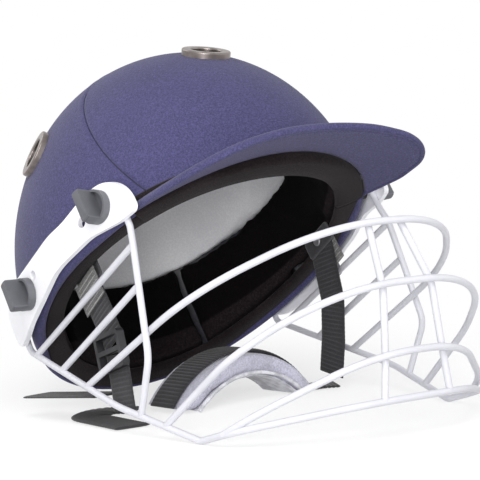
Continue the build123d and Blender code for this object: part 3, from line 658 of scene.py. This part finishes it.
class HELMET_OT_finishes(bpy.types.Operator):
    """Make every finish and put the finishes of the CAD nodes on them."""

    bl_idname = "helmet.finishes"
    bl_label = "Finishes"

    def execute(self, context):
        tones = context.scene.helmet_colours
        made = MATERIALS
        made["cloth"] = cloth_finish(tones.cloth[:])
        made["felt"] = felt_finish(tones.felt[:])
        made["foam"] = foam_finish(tones.felt[:], *shades(tones.felt[:], FOAM_SHARE))
        made["liner"] = liner_finish(tones.liner[:])
        made["plate"] = plate_finish(tones.plate[:])
        made["grip"] = grip_finish(tones.grip[:])
        made["wire"] = wire_finish(tones.wire[:])
        made["eyelet"] = metal_finish("eyelet_metal", colour(132, 124, 121), 0.28)
        made["steel"] = metal_finish("screw_steel", colour(190, 190, 194), 0.35)
        made["webbing"] = webbing_finish(tones.webbing[:])
        made["webbing_light"] = webbing_finish(colour(124, 123, 122), "grey_webbing")
        made["plush"] = plush_finish(tones.plush[:])
        made["lock"] = plain_plastic_finish("black_plastic", colour(40, 40, 43))
        made["shell"] = plain_plastic_finish("shell_plastic", colour(58, 58, 66))
        made["backing"] = plain_plastic_finish("pale_backing", colour(214, 214, 220))
        made["stitch"] = plain_plastic_finish("navy_thread", colour(70, 68, 108))
        for finish, names in NODE_FINISHES.items():
            for name in names:
                node = frame["nodes"][name]
                node.data.materials.clear()
                node.data.materials.append(made[finish])
        SceneKit.dome = Dome(context.scene.helmet_shape)
        return {"FINISHED"}


class HELMET_OT_cover(bpy.types.Operator):
    """Make the two cloth panels that meet in the seam across the crown."""

    bl_idname = "helmet.cover"
    bl_label = "Cloth cover"

    def execute(self, context):
        shape = context.scene.helmet_shape
        for name, ahead in (("front", True), ("rear", False)):
            mesh = cut_cover(ahead, shape)
            mesh.transform(WORN)
            data = mesh_from("cover_" + name, mesh)
            panel = finish_piece("cover_" + name, data, "cloth", "helmet")
            cutter = ring_cutters(cover_holes())
            cut = panel.modifiers.new("holes", "BOOLEAN")
            cut.object = cutter
            cut.operation = "DIFFERENCE"
            cut.solver = "EXACT"
            apply_modifiers(panel)
            bpy.data.objects.remove(cutter)
            if not len(panel.data.polygons):
                raise RuntimeError("the cloth panel lost its faces: " + name)
            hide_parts("cloth_cover_" + name)
        return {"FINISHED"}


# Runs and sections


BEND_POINTS = 25
RIBBON_PLACES = (-1, -0.985, -0.94, -0.8, -0.4, 0, 0.4, 0.8, 0.94, 0.985, 1)
RIBBON_SQUARENESS = 9
RIB_SHARPNESS = 0.8
TUBE_GUIDE = (0.13, 0.21, 0.97)
TUBE_SIDES = 12


def filleted(points, radii, step):
    """Points along a polyline whose corners are rounded, in even steps."""
    points = [np.asarray(point, float) for point in points]
    path = [points[0]]
    for before, corner, after, radius in zip(points, points[1:], points[2:], radii):
        back, on = unit(before - corner), unit(after - corner)
        half = math.acos(float(np.clip(back @ on, -1, 1))) / 2
        reach = radius / math.tan(half)
        middle = corner + unit(back + on) * radius / math.sin(half)
        start, end = corner + back * reach - middle, corner + on * reach - middle
        sweep = math.pi - 2 * half
        for share in np.linspace(0, 1, BEND_POINTS):
            way = start * math.sin((1 - share) * sweep) + end * math.sin(share * sweep)
            path.append(middle + way / math.sin(sweep))
    path.append(points[-1])
    return even_steps(np.array(path), step)


def run_lengths(path):
    """Distances along a run from its start."""
    return np.concatenate([[0], np.cumsum(np.linalg.norm(np.diff(path, axis=0), axis=1))])


def even_steps(path, step):
    """The same run with its points at even distances."""
    run = run_lengths(path)
    count = max(int(round(run[-1] / step)), 2)
    places = np.linspace(0, run[-1], count + 1)
    return np.stack([np.interp(places, run, path[:, axis]) for axis in range(3)], -1)


def run_directions(path):
    """Unit directions along a run."""
    return unit(np.gradient(path, axis=0))


def ribbon(name, path, across, width, wall, pitch, finish, depth):
    """Flat webbing along a run, with rounded edges and ribs across its width of a depth up to 1."""
    along = run_directions(path)
    across = np.broadcast_to(across, path.shape)
    across = unit(across - along * (across * along).sum(1, keepdims=True))
    facing = np.cross(along, across)
    rise = np.sqrt(np.clip(1 - np.abs(RIBBON_PLACES) ** RIBBON_SQUARENESS, 0, 1))
    top = list(zip(RIBBON_PLACES, rise))
    outline = top + [(place, -up) for place, up in top[-2:0:-1]]
    ribs = np.ones(len(path))
    if pitch:
        ribs = 1 - depth + depth * np.abs(np.sin(math.pi * run_lengths(path) / pitch)) ** RIB_SHARPNESS
    sections = [path + across * (u * width / 2) + facing * (r * wall / 2 * ribs)[:, None] for u, r in outline]
    return loft(name, np.stack(sections, 1), finish, "helmet")


def tube(name, path, radius, finish):
    """A round cord or piping along a run."""
    along = run_directions(path)
    across = unit(np.cross(along, TUBE_GUIDE))
    up = np.cross(along, across)
    angles = np.linspace(0, 2 * math.pi, TUBE_SIDES, endpoint=False)
    sections = [path + (across * math.cos(a) + up * math.sin(a)) * radius for a in angles]
    loft(name, np.stack(sections, 1), finish, "helmet")


def on_ground(side, ahead, height):
    """Standing point at a height over the ground, given by its side and distance ahead along the rim."""
    up = (-WORN_ORIGIN.z - ahead * math.sin(LAY_BACK)) / math.cos(LAY_BACK)
    return (side, -ahead * math.cos(LAY_BACK) + up * math.sin(LAY_BACK) + WORN_ORIGIN.y, height)


# Padding


PAD_VOXEL = 0.0045
LINER_VOXEL = 0.004
CUP_VOXEL = 0.0035
BACKING_VOXEL = 0.0011
TAB_VOXEL = 0.0009
SMOOTH_SHARE = 0.5
SWELL_QUALITY = 5
SWELL_PRESSURE = 4.0
SWELL_TENSION = 25.0
SWELL_FRAMES = 20


def softened(name, node, voxel, finish, rounds, cap=0.0, shrink=0.0):
    """A soft piece in its CAD solid's space: remeshed, drawn in, then swelled by a cloth simulation."""
    piece = finish_piece(name, frame["nodes"][node].data.copy(), finish, "helmet")
    mesher = piece.modifiers.new("remesh", "REMESH")
    mesher.mode = "VOXEL"
    mesher.voxel_size = voxel
    smoother = piece.modifiers.new("smooth", "SMOOTH")
    smoother.factor = SMOOTH_SHARE
    smoother.iterations = rounds
    apply_modifiers(piece)
    if shrink:
        draw_in(piece, shrink)
    if cap:
        swell(piece, cap)
    rounder = piece.modifiers.new("round", "SUBSURF")
    rounder.levels = 1
    apply_modifiers(piece)
    dress(piece.data, finish)
    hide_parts(node)
    return piece


def mesh_values(data, kind="co"):
    """The places or the normals of a mesh's points as an array."""
    values = np.empty(len(data.vertices) * 3)
    data.vertices.foreach_get(kind, values)
    return values.reshape(-1, 3)


def draw_in(piece, amount):
    """Moves a piece's skin inwards."""
    places = mesh_values(piece.data) - mesh_values(piece.data, "normal") * amount
    piece.data.vertices.foreach_set("co", places.ravel())
    piece.data.update()


def swell(piece, cap):
    """Blows a piece up as tight cloth, and lets no point move further than a cap."""
    scene = bpy.context.scene
    cloth = piece.modifiers.new("cloth", "CLOTH")
    cloth.settings.quality = SWELL_QUALITY
    cloth.settings.use_pressure = True
    cloth.settings.uniform_pressure_force = SWELL_PRESSURE
    cloth.settings.tension_stiffness = SWELL_TENSION
    cloth.settings.effector_weights.gravity = 0.0
    cloth.point_cache.frame_start = 1
    cloth.point_cache.frame_end = SWELL_FRAMES
    for number in range(1, SWELL_FRAMES + 1):
        scene.frame_set(number)
    graph = bpy.context.evaluated_depsgraph_get()
    blown = piece.evaluated_get(graph).to_mesh()
    after = mesh_values(blown)
    piece.evaluated_get(graph).to_mesh_clear()
    piece.modifiers.clear()
    scene.frame_set(1)
    before = mesh_values(piece.data)
    move = after - before
    distance = np.linalg.norm(move, axis=1, keepdims=True)
    move = move * np.minimum(1.0, cap / np.maximum(distance, 1e-9))
    piece.data.vertices.foreach_set("co", (before + move).ravel())
    piece.data.update()


class HELMET_OT_padding(bpy.types.Operator):
    """Make the foam pads and the pale crown liner as swelled soft pieces."""

    bl_idname = "helmet.padding"
    bl_label = "Padding"

    def execute(self, context):
        puff = context.scene.helmet_shape.pad_puff
        for node in ("pad_front", "pad_rear", *both("pad_side")):
            pad = softened("soft_" + node, node, PAD_VOXEL, "foam", 2, puff, puff * 0.6)
        liner = softened("soft_liner", "crown_liner", LINER_VOXEL, "liner", 3, puff, puff * 0.5)
        return {"FINISHED"}


# Rim


RIM_SPLIT = math.radians(48.5)
RIM_CLEAR = 0.002
REAR_SECTIONS = 190
FRONT_SECTIONS = 110
EAR_TURN = math.radians(95)
EAR_SPREAD = math.radians(58)
EAR_FADE = math.radians(30)
LIP = 0.0188
LIP_BEND = 0.0012
EDGE_TOP = ((-0.0004, 0.0088), (-0.0012, 0.0078), (-0.0013, 0.0040))
EDGE_BACK = ((-0.0001, -0.0001), (-0.0001, 0.0080))
FELT_INSIDE = (
    (LIP, 0.0004), (LIP, 0.0016), (LIP - LIP_BEND, 0.0026), (0.0110, 0.0027), (0.0067, 0.0027),
    (0.0067, 0.0084), (0.0056, 0.0084), (0.0056, -0.0001),
)


def rim_piece(name, turns, section, finish):
    """A piece along the rim, each point of its section given by its inset from the dome and its rise."""
    columns = []
    for point in section:
        inset, rise = (np.broadcast_to(value, turns.shape) for value in point)
        columns.append(SceneKit.dome.rim_ray(turns, inset, rise)[0])
    return loft(name, stand(np.stack(columns, 1)), finish, "helmet")


def side_share(turns):
    """1 beside the ears and 0 at the front and the nape, rising smoothly."""
    away = np.abs(np.abs((turns + math.pi) % (2 * math.pi) - math.pi) - EAR_TURN)
    share = np.clip((EAR_SPREAD - away) / EAR_FADE, 0, 1)
    return share * share * (3 - 2 * share)


class HELMET_OT_rim(bpy.types.Operator):
    """Make the rolled navy edge at the sides and rear, and the dark felt band all round inside it."""

    bl_idname = "helmet.rim"
    bl_label = "Rim"

    def execute(self, context):
        rear = np.linspace(RIM_SPLIT, 2 * math.pi - RIM_SPLIT, REAR_SECTIONS)
        bulge = side_share(rear)
        wide = 0.0016 + 0.0042 * bulge
        low = -0.00125 - 0.0016 * bulge
        section = (
            *EDGE_TOP, (-0.0012, 0.0008), (-0.0006, -0.0008), (wide * 0.15, low * 0.86), (wide * 0.5, low),
            (wide * 0.82, low * 0.84), (wide, low * 0.3), (wide, 0.0), (wide * 0.5, -0.0001), *EDGE_BACK,
        )
        roll = rim_piece("rolled_edge", rear, section, "cloth")
        section = (
            (wide + 0.0002, -0.0001), (wide + 0.0004, -0.0009), (wide + 0.0016, -0.00125), (0.0110, -0.0014),
            (LIP - LIP_BEND, -0.0010), *FELT_INSIDE,
        )
        band = rim_piece("felt_sides", rear, section, "felt")
        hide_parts("rim_roll")
        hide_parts("rim_roll")
        front = np.linspace(-RIM_SPLIT + RIM_CLEAR, RIM_SPLIT - RIM_CLEAR, FRONT_SECTIONS)
        section = (
            *EDGE_TOP, (-0.0012, 0.0004), (-0.0002, -0.0010), (0.0020, -0.0017), (0.0110, -0.0018),
            (LIP - LIP_BEND, -0.0012), *FELT_INSIDE, *EDGE_BACK,
        )
        band = rim_piece("felt_front", front, section, "felt")
        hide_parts("rim_felt")
        return {"FINISHED"}


# Peak


PEAK_HEIGHT = 0.0436
PEAK_ARCH = 0.252
PEAK_SLOPE = 0.304
PEAK_EDGE_SHARES = ((0.812, 0.52), (0.838, 0.86), (0.795, 1.10), (0.62, 1.265), (0.30, 1.305))
PEAK_BENDS = (0.060, 0.045, 0.043, 0.090)
PEAK_STEP = 0.002
PEAK_ROWS = 15
ROLL_ROWS = 11
PEAK_HEAD = (0.0, -0.030)
PEAK_MIDDLE = (0.0, -0.08)
PEAK_SEAT = 0.0021
PEAK_HALF_WALL = 0.00235
PEAK_PUFF = 0.14
PEAK_ROLL = 0.0031
PEAK_ROLL_RISE = 0.0027
GROOVE_INSET = 0.0036
GROOVE_RISE = 0.0019
CLOTH_INSET = 0.0044
STITCH_INSET = 0.0075
STITCH_RISE = 0.0024
STITCH_STEP = 0.0017
STITCH_RADIUS = 0.00032
STITCH_SHARE = 0.62
STITCH_CLEAR = 0.005


def peak_surface(plan, rise):
    """Worn points on the arched slope over points in plan, raised by a rise."""
    x, y = plan[..., 0], plan[..., 1]
    height = PEAK_HEIGHT - PEAK_ARCH + np.sqrt((PEAK_ARCH + rise) ** 2 - x**2) + PEAK_SLOPE * y
    return np.stack([x, y, height], -1)


def peak_edge(shape):
    """The peak's edge in plan, from the right ear round the front to the left."""
    half = [(side * shape.half_width, -ahead * shape.dome_radius, 0.0) for side, ahead in PEAK_EDGE_SHARES]
    points = [(-x, y, z) for x, y, z in half] + list(reversed(half))
    return filleted(points, PEAK_BENDS + PEAK_BENDS[::-1], PEAK_STEP)[:, :2]


def peak_seat(edge, rise):
    """Points in plan where lines from the edge to the head meet the dome."""
    head = np.array(PEAK_HEAD)
    low, high = np.zeros(len(edge)), np.ones(len(edge))
    for _ in range(SEAT_HALVINGS):
        share = (low + high) / 2
        plan = edge + (head - edge) * share[:, None]
        outside = SceneKit.dome.outside(peak_surface(plan, rise)) > PEAK_SEAT
        low, high = np.where(outside, share, low), np.where(outside, high, share)
    return edge + (head - edge) * low[:, None]


class HELMET_OT_peak(bpy.types.Operator):
    """Make the cloth-covered peak with its rolled edge and stitching."""

    bl_idname = "helmet.peak"
    bl_label = "Peak"

    def execute(self, context):
        shape = context.scene.helmet_shape
        edge = peak_edge(shape)
        inward = unit(np.stack([-np.gradient(edge[:, 1]), np.gradient(edge[:, 0])], -1))
        inward = inward * np.sign((inward * (np.array(PEAK_MIDDLE) - edge)).sum(1))[:, None]
        near = edge + inward * CLOTH_INSET
        columns = []
        for rise in (PEAK_HALF_WALL, -PEAK_HALF_WALL):
            seat = peak_seat(near, rise)
            rows = []
            for share in np.linspace(0, 1, PEAK_ROWS):
                puffed = rise * (1 + PEAK_PUFF * math.sin(math.pi * share))
                rows.append(peak_surface(seat + (near - seat) * share, puffed))
            columns.append(rows)
        roll = []
        for angle in np.linspace(math.pi / 2, -math.pi / 2, ROLL_ROWS):
            plan = edge + inward * (PEAK_ROLL - PEAK_ROLL * math.cos(angle))
            roll.append(peak_surface(plan, PEAK_ROLL_RISE * math.sin(angle)))
        grooves = [peak_surface(edge + inward * GROOVE_INSET, rise) for rise in (GROOVE_RISE, -GROOVE_RISE)]
        sections = np.stack([*columns[0], grooves[0], *roll, grooves[1], *reversed(columns[1])], 1)
        peak = loft("soft_peak", stand(sections), "cloth", "helmet")
        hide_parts("peak_cloth_top", "peak_cloth_under", "peak_piping")
        for name, rise in (("top", STITCH_RISE), ("under", -STITCH_RISE)):
            stitches("peak_stitches_" + name, edge + inward * STITCH_INSET, rise)
        return {"FINISHED"}


def stitches(name, plan, rise):
    """A row of short raised threads along a line on the peak."""
    plan = plan[SceneKit.dome.outside(peak_surface(plan, rise)) > STITCH_CLEAR]
    path = even_steps(np.column_stack([plan, np.zeros(len(plan))]), STITCH_STEP)[2:-2, :2]
    mesh = bmesh.new()
    for first, last in zip(path[::2], path[1::2]):
        places = peak_surface(np.array([first, last]), rise)
        middle = Vector(places.mean(0))
        way = Vector(places[1] - places[0])
        turn = way.to_track_quat("Z", "Y").to_matrix().to_4x4()
        size = Matrix.Diagonal((STITCH_RADIUS, STITCH_RADIUS, way.length * STITCH_SHARE, 1.0))
        place = Matrix.Translation(middle) @ turn @ size
        bmesh.ops.create_icosphere(mesh, subdivisions=1, radius=1.0, matrix=place)
    mesh.transform(WORN)
    finish_piece(name, mesh_from(name, mesh), "stitch", "helmet")


# Chin strap and cup


WEB_SIDE = 0.08885
WEB_WIDTH = 0.025
WEB_WALL = 0.0018
RIBBED_WALL = 0.0022
WEB_DEPTH = 0.5
RIBBED_DEPTH = 0.55
TAIL_DEPTH = 0.3
RIGHT_RUN = ((0.0055, 0.008), (0.007, -0.027), (0.0071, -0.0472))
TONGUE_RUN = ((0.0047, -0.0544), (-0.0095, -0.086))
LEFT_RUN = ((0.025, 0.008), (0.009, -0.036), (-0.008, -0.058), (-0.025, -0.0755))
LOOP_RUN = ((-0.091, -0.006), (-0.090, -0.052), (-0.068, -0.066), (-0.0537, -0.0522))
LEFT_FLOOR_RUN = ((0.098, -0.036), (0.086, -0.041), (0.0732, -0.041))
TAIL_RUN = ((-0.092, -0.0273, 0.018), (-0.103, -0.084, 0.013))
RUN_STEP = 0.0004
FLOOR_GAP = 0.0003
PATCH_WIDTH = 0.0285
PATCH_WALL = 0.0013
PATCH_PITCH = 0.0034
PATCH_DEPTH = 0.75
PATCH_TOP = 0.0022
PATCH_FOOT = -0.0190
PATCH_SLANT = 0.0008
PATCH_LIFT = 0.0009


def hanging_run(side, places, bends):
    """A standing run in the upright plane beside the head."""
    points = stand([(side, -ahead, up) for ahead, up in places])
    return filleted(points, bends, RUN_STEP)


def ground_run(places, bends, height):
    """A standing run that lies on the ground."""
    return filleted([on_ground(side, ahead, height) for side, ahead in places], bends, RUN_STEP)


class HELMET_OT_straps(bpy.types.Operator):
    """Make the ribbed webbing of the chin strap, with its sewn patches."""

    bl_idname = "helmet.straps"
    bl_label = "Chin strap"

    def execute(self, context):
        pitch = context.scene.helmet_shape.rib_pitch
        across = WORN_TURN @ np.array((0.0, 1.0, 0.0))
        runs = {
            "web_right": hanging_run(-WEB_SIDE, RIGHT_RUN, (0.040,)),
            "web_tongue": hanging_run(-WEB_SIDE, TONGUE_RUN, ()),
            "web_left": hanging_run(WEB_SIDE, LEFT_RUN, (0.022, 0.022)),
        }
        for name, path in runs.items():
            strap = ribbon("soft_" + name, path, across, WEB_WIDTH, WEB_WALL, pitch, "webbing", WEB_DEPTH)
            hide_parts(name)
        low = FLOOR_GAP + RIBBED_WALL / 2
        runs = {
            "strap_loop": ground_run(LOOP_RUN, (0.020, 0.014), low),
            "strap_end_left": ground_run(LEFT_FLOOR_RUN, (0.014,), low),
        }
        for name, path in runs.items():
            sideways = np.cross(run_directions(path), (0.0, 0.0, 1.0))
            strap = ribbon(
                "soft_" + name, path, sideways, WEB_WIDTH, RIBBED_WALL, pitch, "webbing", RIBBED_DEPTH
            )
            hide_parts(name)
        tail = np.array([on_ground(*place) for place in TAIL_RUN])
        tail[:, 2] += WEB_WALL / 2
        path = even_steps(tail, RUN_STEP)
        sideways = np.cross(run_directions(path), (0.0, 0.0, 1.0))
        strap = ribbon("soft_strap_tail", path, sideways, WEB_WIDTH, WEB_WALL, pitch, "webbing", TAIL_DEPTH)
        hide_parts("strap_tail")
        self.patches(across)
        return {"FINISHED"}

    def patches(self, across):
        """The sewn ends over the webbing, with lighter stitched bars: grey thread, and the webbing's painted
        highlight on the bars' edges.
        """
        out = WEB_SIDE + WEB_WALL / 2 + PATCH_LIFT
        for hand, side, ahead in (("right", -1, 0.0058), ("left", 1, 0.0212)):
            path = hanging_run(side * out, ((ahead, PATCH_TOP), (ahead + PATCH_SLANT, PATCH_FOOT)), ())
            patch = ribbon(
                "sewn_patch_" + hand, path, across, PATCH_WIDTH, PATCH_WALL, PATCH_PITCH, "webbing_light",
                PATCH_DEPTH,
            )
            tab = softened("soft_tab_" + hand, "strap_anchor_" + hand, TAB_VOXEL, "webbing", 1)


CUP_PLACE = (0.0125, -0.040)
CUP_TURN = math.radians(4.0)
CUP_HALF = 0.059
CUP_RISE = 0.033
CUP_DEPTH = 0.046
CUP_STRAP_GAP = 0.00015
CUP_STRAP_TRIM = 0.0042
PIPING_RADIUS = 0.0013
PIPING_INSET = 0.0128
PIPING_BACK = 0.0004
PIPING_TRIM = 0.0015


def cup_arc(grow, aside, count, trim):
    """Standing points on an arch over the cup, grown outwards and stepped aside from its middle."""
    half, rise = CUP_HALF + grow, CUP_RISE + grow
    radius = (half**2 + rise**2) / (2 * rise)
    limit = math.asin(half / radius)
    angles = np.linspace(-limit + trim / radius, limit - trim / radius, count)
    along, up = radius * np.sin(angles), radius * np.cos(angles) - radius + rise
    middle = np.array(on_ground(*CUP_PLACE, FLOOR_GAP))
    run = np.array((math.cos(CUP_TURN), math.sin(CUP_TURN), 0.0))
    face = np.array((math.sin(CUP_TURN), -math.cos(CUP_TURN), 0.0))
    return middle + along[:, None] * run + up[:, None] * np.array((0, 0, 1.0)) + face * aside, face


class HELMET_OT_cup(bpy.types.Operator):
    """Make the plush chin cup with its piping, backing and strap."""

    bl_idname = "helmet.cup"
    bl_label = "Chin cup"

    def execute(self, context):
        puff = context.scene.helmet_shape.pad_puff
        pad = softened("soft_cup", "cup_pad", CUP_VOXEL, "plush", 3, puff, puff * 0.7)
        backing = softened("soft_backing", "cup_backing", BACKING_VOXEL, "backing", 2)
        path, face = cup_arc(CUP_STRAP_GAP + RIBBED_WALL / 2, 0.0, 620, CUP_STRAP_TRIM)
        strap = ribbon(
            "soft_cup_strap", path, face, WEB_WIDTH, RIBBED_WALL, context.scene.helmet_shape.rib_pitch,
            "webbing", RIBBED_DEPTH,
        )
        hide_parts("cup_strap")
        path, face = cup_arc(-PIPING_INSET, CUP_DEPTH / 2 - PIPING_BACK, 160, PIPING_TRIM)
        tube("cup_piping", path, PIPING_RADIUS, "backing")
        return {"FINISHED"}


# Stage


WHITE = (1, 1, 1, 1)
FLOOR_HALF = 3.0
FLOOR_LEVEL = -0.0002
FLOOR_WHITE = 0.66
FLOOR_FADE = (0.22, 0.55)
WORLD_LIGHT = 0.42
LAMP_TARGET = (0.0, 0.0, 0.1)
LAMPS = {
    "key": ((-0.9, -1.3, 1.5), 1.1, 22.0),
    "low": ((-1.1, -1.2, 0.28), 0.5, 13.0),
    "fill": ((1.4, -0.9, 0.9), 1.3, 3.5),
    "rear": ((-0.6, 1.4, 1.3), 1.2, 9.0),
}
CAMERA_PLACE = (-0.6309, -0.8931, 0.1666)
CAMERA_RIGHT = Vector((0.8112, -0.5825, -0.0511))
CAMERA_LOOK = Vector((0.5802, 0.8127, -0.0532))
CAMERA_SENSOR = 36.0
CAMERA_LENS = 127.5


def shared_white():
    """A floor material that the camera and mirrors see as almost white, with its shadow kept."""
    finish = Finish("pale_floor")
    cloud = finish.noise(3.0, 2.0)
    tone = finish.mix(cloud, colour(246, 246, 247), colour(250, 250, 250))
    lit = finish.add("ShaderNodeBsdfDiffuse", None, {"Color": tone, "Roughness": 0.6})
    bare = finish.add("ShaderNodeEmission", None, {"Color": WHITE, "Strength": 1.0})
    away = finish.add("ShaderNodeVectorMath", {"operation": "LENGTH"}, {0: finish.place}, "Value")
    share = finish.seen() * (FLOOR_WHITE + away.step(*FLOOR_FADE) * (1 - FLOOR_WHITE))
    mixed = finish.add("ShaderNodeMixShader", None, {0: share, 1: lit, 2: bare})
    finish.add("ShaderNodeOutputMaterial", None, {"Surface": mixed}, None)
    return finish.material


def white_world():
    """A soft pale world that the camera and mirrors see as white."""
    world = bpy.data.worlds.new("studio")
    bpy.context.scene.world = world
    world.use_nodes = True
    nodes = Nodes(world.node_tree)
    seen = nodes.seen()
    soft = nodes.add("ShaderNodeBackground", None, {"Color": WHITE, "Strength": WORLD_LIGHT})
    white = nodes.add("ShaderNodeBackground", None, {"Color": WHITE, "Strength": 1.0})
    mixed = nodes.add("ShaderNodeMixShader", None, {0: seen, 1: soft, 2: white})
    nodes.add("ShaderNodeOutputWorld", None, {"Surface": mixed}, None)


def soft_lamp(name, place, size, power):
    """A square area lamp that faces the helmet."""
    data = bpy.data.lights.new(name, "AREA")
    data.shape = "SQUARE"
    data.size = size
    data.energy = power
    lamp = linked(name, data)
    lamp.location = place
    lamp.rotation_mode = "QUATERNION"
    lamp.rotation_quaternion = (Vector(LAMP_TARGET) - Vector(place)).to_track_quat("-Z", "Y")


def studio_camera():
    """The camera that looks at the helmet as the photograph does."""
    camera = linked("camera", bpy.data.cameras.new("camera"))
    camera.data.sensor_width = CAMERA_SENSOR
    camera.data.lens = CAMERA_LENS
    camera.data.clip_start = 0.05
    look = CAMERA_LOOK.normalized()
    up = CAMERA_RIGHT.normalized().cross(look).normalized()
    right = look.cross(up)
    camera.matrix_world = Matrix.Translation(CAMERA_PLACE) @ Matrix((right, up, -look)).transposed().to_4x4()
    bpy.context.scene.camera = camera


class HELMET_OT_stage(bpy.types.Operator):
    """Make the floor, the soft studio light and the camera."""

    bl_idname = "helmet.stage"
    bl_label = "Stage"

    def execute(self, context):
        signs = ((-1, -1), (1, -1), (1, 1), (-1, 1))
        corners = [(x * FLOOR_HALF, y * FLOOR_HALF, FLOOR_LEVEL) for x, y in signs]
        mesh = bpy.data.meshes.new("floor")
        mesh.from_pydata(corners, [], [(0, 1, 2, 3)])
        mesh.materials.append(shared_white())
        floor = linked("floor", mesh)
        white_world()
        for name, (place, size, power) in LAMPS.items():
            soft_lamp(name, place, size, power)
        studio_camera()
        context.scene.view_settings.view_transform = "Standard"
        return {"FINISHED"}


class HELMET_PT_panel(bpy.types.Panel):
    """The sizes, the colours and the steps that dress the helmet."""

    bl_idname = "HELMET_PT_panel"
    bl_label = "Cricket helmet"
    bl_space_type = "VIEW_3D"
    bl_region_type = "UI"
    bl_category = "Helmet"

    def draw(self, context):
        for group in (context.scene.helmet_shape, context.scene.helmet_colours):
            for key in group.__annotations__:
                self.layout.prop(group, key)
        for step in STEPS:
            self.layout.operator(step.bl_idname)


STEPS = (
    HELMET_OT_finishes,
    HELMET_OT_cover,
    HELMET_OT_rim,
    HELMET_OT_peak,
    HELMET_OT_padding,
    HELMET_OT_straps,
    HELMET_OT_cup,
    HELMET_OT_stage,
)
CLASSES = (HelmetShape, HelmetColours, *STEPS, HELMET_PT_panel)


def register():
    """Registers the classes and hangs the settings on the scene."""
    for item in CLASSES:
        bpy.utils.register_class(item)
    bpy.types.Scene.helmet_shape = bpy.props.PointerProperty(type=HelmetShape)
    bpy.types.Scene.helmet_colours = bpy.props.PointerProperty(type=HelmetColours)


def unregister():
    """Takes the settings and the classes away again."""
    del bpy.types.Scene.helmet_colours
    del bpy.types.Scene.helmet_shape
    for item in reversed(CLASSES):
        bpy.utils.unregister_class(item)


def main():
    """Dresses the helmet."""
    register()
    for step in STEPS:
        group, name = step.bl_idname.split(".")
        getattr(getattr(bpy.ops, group), name)()


if __name__ == "__main__":
    main()
